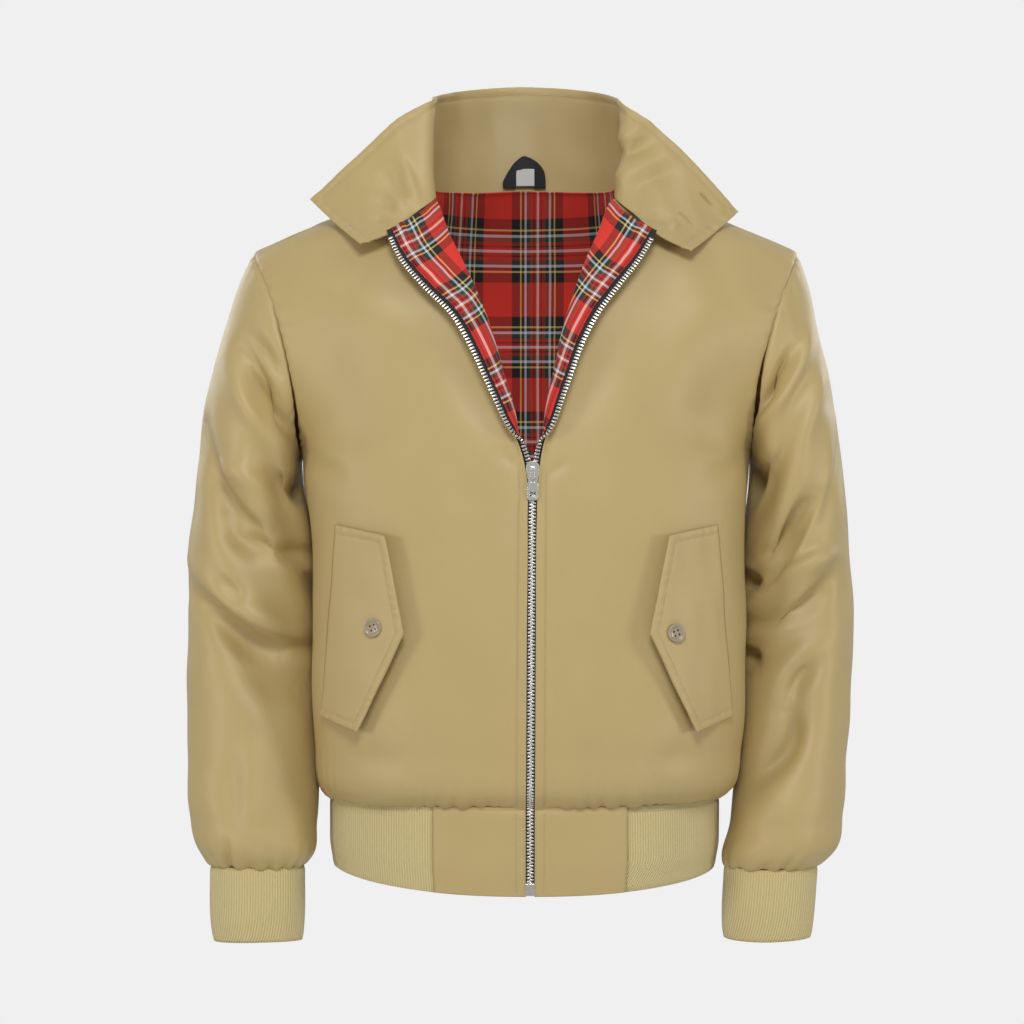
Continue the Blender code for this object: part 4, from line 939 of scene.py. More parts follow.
# The wings of the collar fall open in soft folds that run up from the neck.
COLLAR_CREASES = table(
    CREASE,
    (-0.1080, 0.0075, -0.1001, -0.0133, -0.0927, -0.0345, 0.0055, -0.0030, 0.00),
    (-0.1260, 0.0016, -0.1124, -0.0178, -0.1036, -0.0310, 0.0110, 0.0035, 0.00),
    (-0.1197, -0.0194, -0.1110, -0.0280, -0.1036, -0.0345, 0.0055, -0.0025, 0.00),
    (-0.1295, -0.0266, -0.1200, -0.0330, -0.1115, -0.0380, 0.0050, 0.0022, 0.00),
    (-0.1310, -0.0450, -0.1240, -0.0465, -0.1170, -0.0490, 0.0035, 0.0020, 0.00),
    (0.0756, -0.0086, 0.1019, -0.0010, 0.1296, 0.0131, 0.0100, -0.0035, 0.00),
    (0.0825, 0.0131, 0.1000, 0.0200, 0.1170, 0.0290, 0.0085, 0.0035, 0.00),
    (0.0781, 0.0228, 0.0920, 0.0300, 0.1028, 0.0390, 0.0075, -0.0025, 0.00),
    (0.0984, -0.0134, 0.1150, -0.0040, 0.1310, 0.0060, 0.0110, 0.0035, 0.00),
    (0.1000, -0.0420, 0.1130, -0.0450, 0.1250, -0.0480, 0.0060, 0.0025, 0.00),
    (0.1260, -0.0490, 0.1290, -0.0520, 0.1310, -0.0550, 0.0040, -0.0020, 0.00),
)
by_hand = [*SLEEVE_CREASES.values(), *BACK_CREASES.values(), FRONT_CREASES, COLLAR_CREASES]
print("creases placed by hand", sum(len(table_of["x0"]) for table_of in by_hand))

# %% [markdown]
# The fronts. On the real jacket each front is one cut piece with a facing behind its edge; the zip is sewn
# between them, and above the slider the edge falls open and turns out, which shows the tartan facing.
# So the panel and the strip that turns are made as one cloth, and the lining and the facing as another.

# %% Fronts and their linings
STEP = 0.0031  # the size of a face
ZIP_RUN = {}  # each front's finished edge, kept for the zip

for side, sign in SIDES.items():
    middle_line = lambda t: front_row(side, t, [0.5])[0]
    beside_roll = spaced(middle_line, 0, LAPEL_UP, STEP, "first")
    ups = np.concatenate([beside_roll, spaced(middle_line, LAPEL_UP, 1, STEP, "last")[1:]])
    across = spaced(lambda t: np.array([0.205 * t, 0, 0]), 0, 1, STEP, "last")
    outs = np.concatenate([np.linspace(0, 0.2, 6), np.linspace(0.2, 1, 12)[1:]])
    panel, panel_out, lapel, lapel_out = front_surfaces(side, ups, across, outs)
    flat, strip_flat = lengths(panel), lengths(lapel)
    turned = ease((ups - TURN_UP) / 0.07)[:, None]
    from_side = flat[:, -1:, 0] - flat[..., 0]
    from_hem, from_top = flat[..., 1], flat[-1:, :, 1] - flat[..., 1]
    hang = undulate(panel, 0.085, 0.0013, 1.3 * sign) * ease(flat[..., 0] / 0.03)
    hang += crease_depth(panel, FRONT_CREASES)
    inwards = hang + seam_dip(from_side) + seam_dip(from_top) + seam_dip(from_hem, 0.0015, 0.0030)
    inwards += puckers(flat[..., 0], from_hem, 0.013, 0.0013, 0.030, 0.7 + sign) * ease(from_side / 0.01)
    inwards += puckers(from_hem, from_side, 0.016, 0.0007, 0.012, 1.9 + sign) * ease(from_hem / 0.05)
    inwards += puckers(flat[..., 0], from_top, 0.017, 0.0004, 0.010, 2.2)
    inwards += 0.0004 * bell(flat[..., 0], 0.0016) * (1 - turned)  # the row of stitches draws it in
    shell = panel - panel_out * inwards[..., None]
    strip_in = 0.0004 * bell(strip_flat[..., 0], 0.0016) * (1 - turned[: len(lapel)])
    strip = lapel - lapel_out * strip_in[..., None]
    shell[: len(lapel), 0] = strip[:, 0]
    whole = cloth(f"shell_front_{side}", [shell, strip], SHELL, TWILL, flats=[flat, strip_flat * [-1, 1]])
    dress(whole, [f"front_{side}"], [panel, lapel])

    # The facing is fuller than the shell it is sewn to, so it puckers towards the collar and along the roll.
    width = strip_flat[:, -1:, 0]
    from_edge = width - strip_flat[..., 0]
    from_neck = strip_flat[-1:, :, 1] - strip_flat[..., 1]
    open_part = turned[: len(lapel)]
    full = puckers(from_edge, from_neck, 0.015, 0.0013, 0.020, 0.4) * ease(from_edge / 0.006)
    full += puckers(strip_flat[..., 1], from_edge, 0.021, 0.0007, 0.016, 1.1 + sign) * ease(from_edge / 0.004)
    full += 0.0016 * np.sin(math.pi * np.clip(from_edge / 0.014, 0, 1)) - 0.0008
    facing = lapel - lapel_out * (LINING_IN + full * open_part)[..., None]
    back_in = lapel[:, -2] - lapel[:, -1]
    facing[:, -1] += back_in / np.linalg.norm(back_in, axis=-1)[:, None] * 0.0005
    few = np.unique(np.concatenate([np.arange(0, len(across), 2), [len(across) - 1]]))
    lining = (panel - panel_out * (LINING_IN + 0.0006 + hang)[..., None])[:, few]
    lining[: len(lapel), 0] = facing[:, 0]
    # The white line of the tartan lies 6 mm inside the edge, and one crosses at this height.
    crossing = {"right": -0.1169, "left": -0.0956}[side]
    level = np.interp(crossing, lapel[:, 8, 2], strip_flat[:, 8, 1])
    facing_flat = np.stack([from_edge - 0.006, strip_flat[..., 1] - level], axis=-1)
    full_width = np.append(width, np.full(len(ups) - len(width), width[-1]))[:, None]
    lining_flat = np.stack([flat[:, few, 0] + full_width - 0.006, flat[:, few, 1] - level], axis=-1)
    flats = [lining_flat, facing_flat]
    whole = cloth(f"lining_front_{side}_cloth", [lining, facing], LINING, TARTAN, flats=flats)
    dress(whole, [f"lining_front_{side}"], [lining, facing])
    ZIP_RUN[side] = (ups[: len(lapel)], lapel, lapel_out)

# %% [markdown]
# The back and its lining. Nothing shows of the back's outside, so it is one plain piece with its side and
# shoulder seams. Its lining is what the open neck looks in on, so its tartan is placed to a few millimetres.

# %% Back and back lining
half = spaced(lambda t: np.array([0.27 * t, 0, 0]), 0, 1, 0.0040, "last")
back_across = np.concatenate([-half[:0:-1], half])
spine = lambda t: np.array([0, *(float(read(BACK_MIDDLE, c, t)) for c in ("y", "z"))])
back_ups = spaced(spine, 0, 1, 0.0038)
back = back_grid(back_ups, back_across)
back_in = normals(back)
flat = lengths(back)
from_sides = np.minimum(flat[..., 0], flat[:, -1:, 0] - flat[..., 0])
from_hem, from_top = flat[..., 1], flat[-1:, :, 1] - flat[..., 1]
inwards = undulate(back, 0.12, 0.0024, 0.8)
inwards += seam_dip(from_sides) + seam_dip(from_top) + seam_dip(from_hem, 0.0015, 0.003)
inwards += puckers(flat[..., 0], from_hem, 0.014, 0.0013, 0.034, 0.3)
inwards += puckers(from_hem, from_sides, 0.016, 0.0006, 0.012, 2.3)
# Three folds where the back blouses over the band: how far each is to the side, and how deep.
for x, deep in ((-0.085, 0.0028), (0.012, 0.0020), (0.101, 0.0031)):
    fold = bell(back[..., 0] - x - 0.25 * (back[..., 2] - BAND_TOP), 0.013)
    inwards += deep * fold * ease(from_hem / 0.02) * bell(from_hem, 0.12)
whole = cloth("shell_back", [back + back_in * inwards[..., None]], SHELL, TWILL)
dress(whole, ["back"], [back])

# The lining keeps clear of every fold of the shell.
behind = SHELL / 2 + LAYER * 3.5 + LINING / 2 + undulate(back, 0.055, 0.0008, 1.1) + np.maximum(inwards, 0)
lining = back + back_in * behind[..., None]
column = len(half) - 1
# The centre of this lining's tartan is 13.7 mm to the wearer's left, and it hangs with its rows level.
across_it = flat[..., 0] - flat[:, column : column + 1, 0] - 0.0137
lining_flat = np.stack([across_it, (lining[..., 2] + 0.0544) * 0.87], axis=-1)
whole = cloth("lining_back_cloth", [lining], LINING, TARTAN, flats=[lining_flat])
dress(whole, ["lining_back"], [back])

# %% [markdown]
# The sleeves. Each is one ring of cloth from the armhole to the cuff. The broad folds belong to the form,
# and the finer creases above are laid over them, the front ones on the front half and the back ones
# behind, fading out towards the outline. The end is gathered into the narrower cuff.

# %% Sleeves
SLEEVE_ROUND = 148  # points round a sleeve
WRIST, GATHERS = 2 * math.pi * 0.035, 17  # the way round the wrist, and how many gathers it holds
for side, sign in SIDES.items():
    outer = lambda t: sleeve_ring(side, t, np.array([0.0]))[0]
    downs = spaced(outer, 0, 1, STEP)
    turns = np.arange(SLEEVE_ROUND) / SLEEVE_ROUND * 2 * math.pi
    tube = sleeve_grid(side, downs, turns)
    flat = lengths(tube, closed=True)
    out = normals(tube, closed=True)
    out *= np.sign(((tube - tube.mean(axis=1, keepdims=True)) * out).sum(axis=-1).mean())
    facing_front = ease((np.sin(turns) + 0.10) / 0.40)[None]
    facing_back = ease((-np.sin(turns) + 0.05) / 0.40)[None]
    from_head, from_end = flat[:, :-1, 1], flat[-1:, :-1, 1] - flat[:, :-1, 1]
    inwards = crease_depth(tube, SLEEVE_CREASES[side], cut=2.0, lift=1.3) * facing_front
    inwards += crease_depth(tube, BACK_CREASES[side]) * facing_back
    inwards *= 0.2 + 0.8 * ease(from_head / 0.024)  # the seam holds its own line
    inwards += undulate(tube, 0.060, 0.0010, 0.6 + sign)
    around = flat[:, :-1, 0]
    inwards += seam_dip(from_head, 0.0024, 0.0028) + seam_dip(from_end, 0.0012, 0.0024)
    inwards += puckers(around, from_head, 0.014, 0.0005, 0.012, 0.9 + sign)
    inwards += puckers(around / flat[:, -1:, 0] * WRIST, from_end, WRIST / GATHERS, 0.0016, 0.022, 0.5 + sign)
    sleeve = tube - out * inwards[..., None]
    whole = cloth(f"shell_sleeve_{side}", [sleeve], SHELL, TWILL, closed=True)
    dress(whole, [f"sleeve_{side}"], [tube], closed=True)

# %% [markdown]
# The knitted cuffs and hem. A rib is knitted tight and springs in, so it draws the twill above it into
# gathers while it stays almost smooth itself, with a slightly rolled edge. The front of the hem is not
# knitted but a folded tab of twill, which keeps the bottom of the zip flat.

# %% Cuffs, hem rib and hem tabs
CUFF_ROUND, CUFF_RINGS = 110, 26  # points round a cuff, and rings up it
for side, sign in SIDES.items():
    tab = CUFF[side]
    rows = []
    turns = np.arange(CUFF_ROUND) / CUFF_ROUND * 2 * math.pi
    top, foot = float(tab["z"][-1]) + 0.0012, float(tab["z"][0])
    for z in np.linspace(foot, top, CUFF_RINGS):
        x, y, wide, deep = (float(read(tab, c, z)) for c in ("x", "y", "wide", "deep"))
        swell = 1 - 0.016 * bell(z - foot, 0.003) - 0.030 * bell(z - top, 0.0026)
        swell = swell + 0.010 * np.sin(3 * turns + 9 * z) + 0.006 * np.sin(7 * turns + 2.0)
        level = z + 0.0007 * np.sin(2 * turns + sign)
        ring = [x + wide * swell * np.cos(turns), y - deep * swell * np.sin(turns), level]
        rows.append(np.stack(ring, axis=-1))
    whole = cloth(f"knit_cuff_{side}", [np.array(rows)], RIB, KNIT, closed=True)
    dress(whole, [f"cuff_{side}"], [np.array(rows)], closed=True)

WHOLE = {side: band_plan(side, None) for side in SIDES}
shares = np.array([1, 0.985, 0.96, *np.linspace(0.92, 0.08, 15), 0.045, 0.02, 0.0, -0.015, -0.04])


def band_cloth(plan, rolled):
    """Rows of the band with its rolled foot, its dip at the seam and a slight unevenness between."""
    rows = band_rows(plan, shares)
    way = np.gradient(plan, axis=0)
    out = np.stack([way[:, 1], -way[:, 0]], axis=-1)
    out /= np.linalg.norm(out, axis=1)[:, None]
    out *= np.sign((out * plan).sum(axis=1).mean())
    run = run_of(plan)
    for row, share in zip(rows, shares):
        inwards = 0.0012 * bell(share, 0.03) + rolled * bell(1 - share, 0.035)
        uneven = 0.0006 * np.sin(run / 0.021 + 2 * share) * np.sin(run / 0.047)
        row[:, :2] -= out * (inwards + uneven)[:, None]
    return rows


for side in SIDES:
    plan = band_plan(side, np.linspace(EDGE_CLOSED, TAB_REACH + 0.0003, 28))
    rows = band_cloth(plan, 0.0004)
    whole = cloth(f"twill_hem_tab_{side}", [rows], DOUBLED, TWILL)
    dress(whole, [f"hem_tab_{side}"], [rows])
halves = [band_plan(side, np.linspace(TAB_REACH + 0.0003, WHOLE[side], 130)) for side in SIDES]
rows = band_cloth(np.concatenate([halves[0], halves[1][-2::-1]]), 0.0009)
whole = cloth("knit_waistband", [rows], RIB, KNIT)
dress(whole, ["waistband_rib"], [rows])

# %% [markdown]
# The collar stands round the neck and its two ends fall open as wings. It is two layers of twill with a
# stiffer cloth between, turned through and topstitched, so its edge is a little thicker than its middle
# and small puckers run between the edge and the stitches.

# %% Collar
collar_alongs = spaced(lambda t: np.array([float(read(COLLAR, f"top_{k}", t)) for k in "xyz"]), 0, 1, 0.0026)
collar_ups = spaced(lambda t: np.array([0.105 * t, 0, 0]), 0, 1, 0.0028)
collar = collar_grid(collar_alongs, collar_ups)
collar_flat = lengths(collar)
collar_out = normals(collar)
from_ends = np.minimum(collar_flat[..., 0], collar_flat[:, -1:, 0] - collar_flat[..., 0])
from_foot = down_each(collar)
from_top = from_foot[-1:] - from_foot
from_edge = np.minimum(from_ends, from_top)
raised = 0.0005 * bell(from_edge - 0.003, 0.003) - 0.0009 * bell(from_edge - 0.0078, 0.0017)
on_wings = ease((np.abs(collar_alongs - 0.5) - 0.20) / 0.05)[None]
raised -= crease_depth(collar, COLLAR_CREASES, cut=1.6, lift=1.6) * on_wings
raised += puckers(collar_flat[..., 0], np.abs(from_top - 0.004), 0.011, 0.0004, 0.006, 0.8)
raised += puckers(from_foot, np.abs(from_ends - 0.004), 0.010, 0.0005, 0.006, 1.6)
raised += undulate(collar, 0.050, 0.0009, 0.4) * ease(from_foot / 0.02)
wing_cloth = collar + collar_out * raised[..., None]
nape = ease((0.22 - np.abs(collar_alongs - 0.5)) / 0.06)[None] * bell(from_foot, 0.008)
wing_cloth[..., 2] -= 0.0065 * nape
whole = cloth("twill_collar", [wing_cloth], COLLAR_THICK, TWILL)
dress(whole, ["collar"], [collar])

# %% [markdown]
# The pocket flaps lie over the welt pockets. A flap is two layers of twill, sewn along its outer edge and
# free along the slanted inner one, which stands a few millimetres off the front and drops a soft shadow.
# A flap is narrow enough to shape point by point and then fill in smoothly between.

# %% Pocket flaps
def filled_in(coarse, rows, columns):
    """A smooth surface through a coarse grid of points, at finer places given from 0 to 1."""
    def along(values, at):
        stations = np.linspace(0, 1, len(values))
        tab = {"t": stations}
        flat = values.reshape(len(values), -1)
        parts = [read({**tab, "v": flat[:, k]}, "v", at) for k in range(flat.shape[1])]
        return np.stack(parts, axis=-1).reshape(len(at), *values.shape[1:])

    by_row = along(coarse, rows)
    return along(by_row.transpose(1, 0, 2), columns).transpose(1, 0, 2)


FLAPS = {}
for side, sign in SIDES.items():
    downs = np.linspace(0, 1, 13)
    overs = np.linspace(0, 1, 7)
    lower, upper = np.linspace(0, 1, 60), np.linspace(0, 1, 30)
    coarse = np.array([[flap_point(side, d, a)[0] for a in overs] for d in downs])
    # The free edge has a corner at its middle, so each half is filled in by itself.
    halves = [filled_in(coarse[:7], lower, upper), filled_in(coarse[6:], lower, upper)]
    flap = np.concatenate([halves[0], halves[1][1:]])
    flap_out = normals(flap)
    flap_out *= -np.sign(flap_out[..., 1].mean())
    flat = lengths(flap)
    rows_run = down_each(flap)
    # The free edge leans, so its distance is a little less than the length along the flap.
    from_free = (flat[:, -1:, 0] - flat[..., 0]) * 0.94
    from_ends = np.minimum(rows_run, rows_run[-1:] - rows_run)
    from_edge = np.minimum(from_free, from_ends)
    inwards = 0.0006 * bell(from_edge - 0.0068, 0.0013) - 0.0003 * bell(from_edge - 0.0030, 0.003)
    inwards += 0.0005 * bell(from_edge, 0.0009)
    inwards += puckers(rows_run, np.abs(from_free - 0.0035), 0.009, 0.00035, 0.005, 0.4 + sign)
    inwards += puckers(flat[..., 0], np.abs(from_ends - 0.0035), 0.010, 0.00035, 0.005, 1.4 + sign)
    inwards += undulate(flap, 0.045, 0.0008, 0.9 + sign)
    inwards += 0.0012 * bell(flat[..., 0], 0.0016)  # the sewn edge is drawn in
    inwards -= 0.0045 * np.clip(flat[..., 0] / flat[:, -1:, 0], 0, 1) ** 2  # the free edge stands well off
    flap_cloth = flap - flap_out * inwards[..., None]
    FLAPS[side] = (flap_cloth, flap_out, rows_run, flat[..., 0])
    whole = cloth(f"twill_flap_{side}", [flap_cloth], DOUBLED * 0.9, TWILL)
    dress(whole, [f"pocket_flap_{side}"], [flap])

# %% [markdown]
# Zip. Two woven tapes are sewn between the shell and the facing, and each carries a row of metal teeth
# clamped over its edge. Below the slider the two rows mesh, so the teeth of one side stand half a pitch
# from the other's; above it they part with the tapes. Each tooth is one small rounded block, repeated.

# %% Tapes and teeth
PITCH, TOOTH_LONG, TOOTH_HIGH, TOOTH_DEEP = 0.0030, 0.0042, 0.0017, 0.0024


def tooth_block():
    """A tooth across +X from the clamped end at 0, rounded by a bevel; its corners and its faces."""
    bm = bmesh.new()
    bmesh.ops.create_cube(bm, size=1)
    bmesh.ops.scale(bm, vec=(TOOTH_LONG, TOOTH_HIGH, TOOTH_DEEP), verts=bm.verts)
    bmesh.ops.bevel(bm, geom=bm.edges[:], offset=0.00035, segments=2, affect="EDGES", profile=0.6)
    points = np.array([v.co[:] for v in bm.verts])
    faces = [[v.index for v in f.verts] for f in bm.faces]
    bm.free()
    return points, faces


def mesh_object(name, points, faces, finish):
    mesh = bpy.data.meshes.new(name)
    mesh.from_pydata(np.asarray(points).tolist(), [], faces)
    mesh.shade_smooth()
    mesh.materials.append(finish)
    made = bpy.data.objects.new(name, mesh)
    bpy.context.scene.collection.objects.link(made)
    return made


def repeated(name, block, frames, finish):
    """One mesh of a small block set at every frame: its place, its own x, y and z ways."""
    points, faces = block
    all_points, all_faces = [], []
    for place, x, y, z in frames:
        first = len(all_points) * len(points)
        all_points.append(place + points @ np.array([x, y, z]))
        all_faces += [[first + i for i in f] for f in faces]
    return mesh_object(name, np.concatenate(all_points), all_faces, finish)


def unit(v):
    return v / np.linalg.norm(v)


BLOCK = tooth_block()
# How much more of the tape shows above the slider, where the cloth rolls off it.
TAPE_SHOWS = table(
    "up more",
    (0.41, 0.0000),
    (SLIDER_UP, 0.0012),
    (0.58, 0.0012),
    (0.70, 0.0020),
    (0.82, 0.0026),
    (0.88, 0.0018),
    (LAPEL_UP, 0.0010),
)
for side, sign in SIDES.items():
    ups, lapel, lapel_out = ZIP_RUN[side]
    width = np.linalg.norm(lapel[:, -1] - lapel[:, -2], axis=-1)[:, None]
    shown = EDGE_CLOSED - TAPE_REST + np.interp(ups, TAPE_SHOWS["up"], TAPE_SHOWS["more"])
    beyond = lapel[:, -1] + (lapel[:, -1] - lapel[:, -2]) / width * shown[:, None]
    tucked = lapel[:, -8]
    axis = read(FRONT_EDGE, "axis", ups)
    ends = np.stack([tucked, lapel[:, -1], beyond], axis=1) - lapel_out[:, [-1, -1, -1]] * TAPE_IN
    ends[:, 2, 0] = axis + sign * np.maximum((ends[:, 2, 0] - axis) * sign, TAPE_REST)
    plan = np.array([[BAND_AXIS + sign * x, ZIP_Y] for x in (0.0112, EDGE_CLOSED, TAPE_REST)])
    below = band_rows(plan, np.linspace(0.99, 0.03, 26))
    ends = np.concatenate([below, ends])
    shares = np.array([0, 0.5, 1.0, 1.25, 1.5, 1.75, 2.0])
    columns = [(1 - s % 1) * ends[:, int(s)] + (s % 1) * ends[:, min(int(s) + 1, 2)] for s in shares]
    tape = np.stack(columns, axis=1)
    whole = cloth(f"woven_zip_tape_{side}", [tape], TAPE * 0.8, BLACK)
    dress(whole, [f"zip_tape_{side}"], [tape])

    edge = ends[:, 2]
    run = run_of(edge)
    first = 0.006 + (PITCH / 2 if side == "left" else 0)
    stations = np.arange(first, run[-1] - 0.008, PITCH)
    frames = []
    for s in stations:
        here, ahead = (between(run, edge, at) for at in (s, s + 0.002))
        base = between(run, ends[:, 1], s)
        up = unit(ahead - here)
        across = unit((here - base) - up * ((here - base) @ up))
        depth = np.cross(across, up)
        frames.append((here + across * (0.0010 + TAPE_REST - TOOTH_LONG / 2), across, up, depth))
    teeth = repeated(f"zip_teeth_{side}", BLOCK, frames, NICKEL)
    dress(teeth, [])
    print(f"{len(frames)} teeth on the {side}")

# %% [markdown]
# The slider, its pull and the box at the foot are die-cast and then tumbled, so every edge is a little
# round. They keep the CAD's own shapes: the same solids with their edges bevelled, in satin nickel. The
# pull is its own piece, since it swings on the slider.

# %% Slider, pull and box
def rounded_copy(name, source, offset):
    """A CAD node's shape, sewn together, its edges rounded."""
    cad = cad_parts[source]
    mesh = cad.data.copy()
    mesh.transform(cad.matrix_world)
    mesh.materials.clear()
    mesh.materials.append(NICKEL)
    bm = bmesh.new()
    bm.from_mesh(mesh)
    bmesh.ops.remove_doubles(bm, verts=bm.verts, dist=1e-5)
    bmesh.ops.dissolve_limit(bm, angle_limit=math.radians(3), verts=bm.verts, edges=bm.edges)
    bm.to_mesh(mesh)
    bm.free()
    made = bpy.data.objects.new(name, mesh)
    bpy.context.scene.collection.objects.link(made)
    soften = made.modifiers.new("rounded edges", "BEVEL")
    soften.width, soften.segments = offset, 3
    soften.limit_method, soften.angle_limit = "ANGLE", math.radians(35)
    mesh.shade_smooth()
    weigh = made.modifiers.new("flat faces stay flat", "WEIGHTED_NORMAL")
    weigh.keep_sharp = True
    return made


dress(rounded_copy("cast_zip_slider", "zip_slider", 0.00030), ["zip_slider"])
dress(rounded_copy("cast_zip_pull", "zip_pull", 0.00028), ["zip_pull"], body="zip_pull")
box = rounded_copy("cast_zip_box", "zip_box", 0.00050)
box.data.transform(Matrix.Translation((0, 0, -0.004)))  # down to the foot of the tabs
dress(box, ["zip_box"])

# %% [markdown]
# Buttons. A sew-through button is turned from a blank: a raised round rim, a dished middle and four holes
# drilled through. Turning a profile round an axis and cutting four real holes gives the same shadows.

# %% Buttons
# The turned profile, from the middle of the back round the rim to the middle of the dish: shares of the
# radius and of the height.
BUTTON_PROFILE = table(
    "share level",
    (0.000, -0.50),
    (0.800, -0.50),
    (0.930, -0.42),
    (0.990, -0.20),
    (1.000, 0.08),
    (0.975, 0.34),
    (0.920, 0.47),
    (0.850, 0.50),
    (0.770, 0.42),
    (0.700, 0.22),
    (0.620, 0.10),
    (0.400, 0.03),
    (0.000, 0.00),
)
HOLE_R, HOLE_OUT, DRILL_LONG = 0.00095, 0.0019, 0.012


def turned_button(name, radius, high, cad_name, place=(0, 0, 0)):
    """A button over a CAD button, moved by its place: along the face, up it and off it."""
    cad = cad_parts[cad_name]
    points = np.array([cad.matrix_world @ v.co for v in cad.data.vertices])
    centre = (points.min(axis=0) + points.max(axis=0)) / 2
    centred = points - centre
    out = np.linalg.svd(centred, full_matrices=False)[2][2]
    if out[1] > 0:
        out = -out
    bm = bmesh.new()
    rings = []
    for share, level in zip(BUTTON_PROFILE["share"], BUTTON_PROFILE["level"]):
        angles = np.arange(48) / 48 * 2 * math.pi if share else [0.0]
        across, up = share * radius, level * high
        rings.append([bm.verts.new((across * math.cos(a), across * math.sin(a), up)) for a in angles])
    for low, high_ring in zip(rings, rings[1:]):
        for i in range(48):
            a, b = low[i % len(low)], low[(i + 1) % len(low)]
            c, d = high_ring[(i + 1) % len(high_ring)], high_ring[i % len(high_ring)]
            corners = list(dict.fromkeys((a, b, c, d)))
            bm.faces.new(corners)
    bmesh.ops.recalc_face_normals(bm, faces=bm.faces)
    mesh = bpy.data.meshes.new(name)
    bm.to_mesh(mesh)
    bm.free()
    made = bpy.data.objects.new(name, mesh)
    bm = bmesh.new()
    for x in (-1, 1):
        for y in (-1, 1):
            hole = bmesh.ops.create_cone(
                bm, cap_ends=True, segments=20, radius1=HOLE_R, radius2=HOLE_R, depth=DRILL_LONG
            )
            bmesh.ops.translate(bm, vec=(x * HOLE_OUT, y * HOLE_OUT, 0), verts=hole["verts"])
    cutter_mesh = bpy.data.meshes.new("drill")
    bm.to_mesh(cutter_mesh)
    bm.free()
    drill = bpy.data.objects.new("drill", cutter_mesh)
    for new in (made, drill):
        bpy.context.scene.collection.objects.link(new)
    cut = made.modifiers.new("four holes", "BOOLEAN")
    cut.object, cut.operation, cut.solver = drill, "DIFFERENCE", "EXACT"
    bpy.context.view_layer.update()
    drilled = bpy.data.meshes.new_from_object(made.evaluated_get(bpy.context.evaluated_depsgraph_get()))
    bpy.data.objects.remove(drill)
    made.modifiers.clear()
    made.data = drilled
    out = unit(out)
    across = unit(np.array([1.0, 0, 0]) - out * out[0])
    centre = centre + across * place[0] + np.cross(out, across) * place[1] + out * place[2]
    turn = np.array([across, np.cross(out, across), out]).T
    quarter_turn = Matrix.Rotation(math.radians(20), 4, "Z")
    drilled.transform(Matrix.Translation(centre) @ Matrix(turn.tolist()).to_4x4() @ quarter_turn)
    drilled.shade_smooth()
    drilled.set_sharp_from_angle(angle=math.radians(50))
    drilled.materials.clear()
    drilled.materials.append(RESIN)
    dress(made, [cad_name])
    return centre, out, across


# Where each flap button sits on its lifted flap, from where the solid has it.
SEWN_AT = {"right": (-0.0063, -0.0008, 0.0024), "left": (0.0023, -0.0051, 0.0024)}
BUTTON_PLACES = {}
for side in SIDES:
    name = f"flap_button_{side}"
    BUTTON_PLACES[side] = turned_button(f"turned_{name}", BUTTON_R, BUTTON_H, name, SEWN_AT[side])
for number in (1, 2):
    name = f"collar_button_{number}"
    turned_button(f"turned_{name}", COLLAR_BUTTON_R, COLLAR_BUTTON_H, name)

# %% [markdown]
# Stitches. A lockstitch shows as a row of short thread grains, each sunk a little at its ends. One grain is
# modelled, and a row of them follows a line on the cloth. A buttonhole is a slit bound all round by grains
# laid side by side.

# %% Stitches and buttonholes
def grain_block(long, thick):
    """One grain of thread along +Y: an ellipsoid with six sides."""
    bm = bmesh.new()
    bmesh.ops.create_uvsphere(bm, u_segments=6, v_segments=5, radius=0.5)
    bmesh.ops.rotate(bm, matrix=Matrix.Rotation(math.pi / 2, 3, "X"), verts=bm.verts)
    bmesh.ops.scale(bm, vec=(thick, long, thick), verts=bm.verts)
    points = np.array([v.co[:] for v in bm.verts])
    faces = [[v.index for v in f.verts] for f in bm.faces]
    bm.free()
    return points, faces


GRAIN = grain_block(0.0024, 0.00055)
BAR = grain_block(0.0019, 0.0006)


def stitch_frames(points, outs, pitch=0.0029, raised=0.0001):
    """Frames for a row of stitches along a line of points, lying on the cloth."""
    run = run_of(points)
    frames = []
    for s in np.arange(pitch / 2, run[-1], pitch):
        here, ahead = (between(run, points, at) for at in (s - 0.0004, s + 0.0004))
        out = unit(between(run, outs, s))
        along = unit(ahead - here)
        frames.append(((here + ahead) / 2 + out * raised, np.cross(along, out), along, out))
    return frames


def line_at(grid, outs, wanted, value, lift):
    """The line on a grid where a length measured across its rows takes one value: points and normals."""
    points, normals_there = [], []
    for row, out, lengths_there in zip(grid, outs, wanted):
        order = np.argsort(lengths_there)
        place = np.array([np.interp(value, lengths_there[order], row[order, k]) for k in range(3)])
        way = unit(np.array([np.interp(value, lengths_there[order], out[order, k]) for k in range(3)]))
        points.append(place + way * lift)
        normals_there.append(way)
    return np.array(points), np.array(normals_there)


frames = []
for side, (flap, out, rows_run, across_run) in FLAPS.items():
    inset, lift = 0.0070, DOUBLED * 0.45
    keep = (rows_run[:, 0] > inset) & (rows_run[:, 0] < rows_run[-1, 0] - inset)
    from_free = across_run[:, -1:] - across_run
    lines = [line_at(flap[keep], out[keep], from_free[keep], inset / 0.94, lift)]
    columns = (across_run[0] > 0.003)
    for flipped in (False, True):
        ends_run = rows_run[-1:] - rows_run if flipped else rows_run
        grid, ways, wanted = (a.swapaxes(0, 1) for a in (flap, out, ends_run))
        use = slice(3, grid.shape[0] - 4)
        lines.append(line_at(grid[use], ways[use], wanted[use], inset, lift))
    for points, ways in lines:
        frames += stitch_frames(points, ways)
flap_stitches = repeated("stitches_flaps", GRAIN, frames, THREAD)
dress(flap_stitches, [])

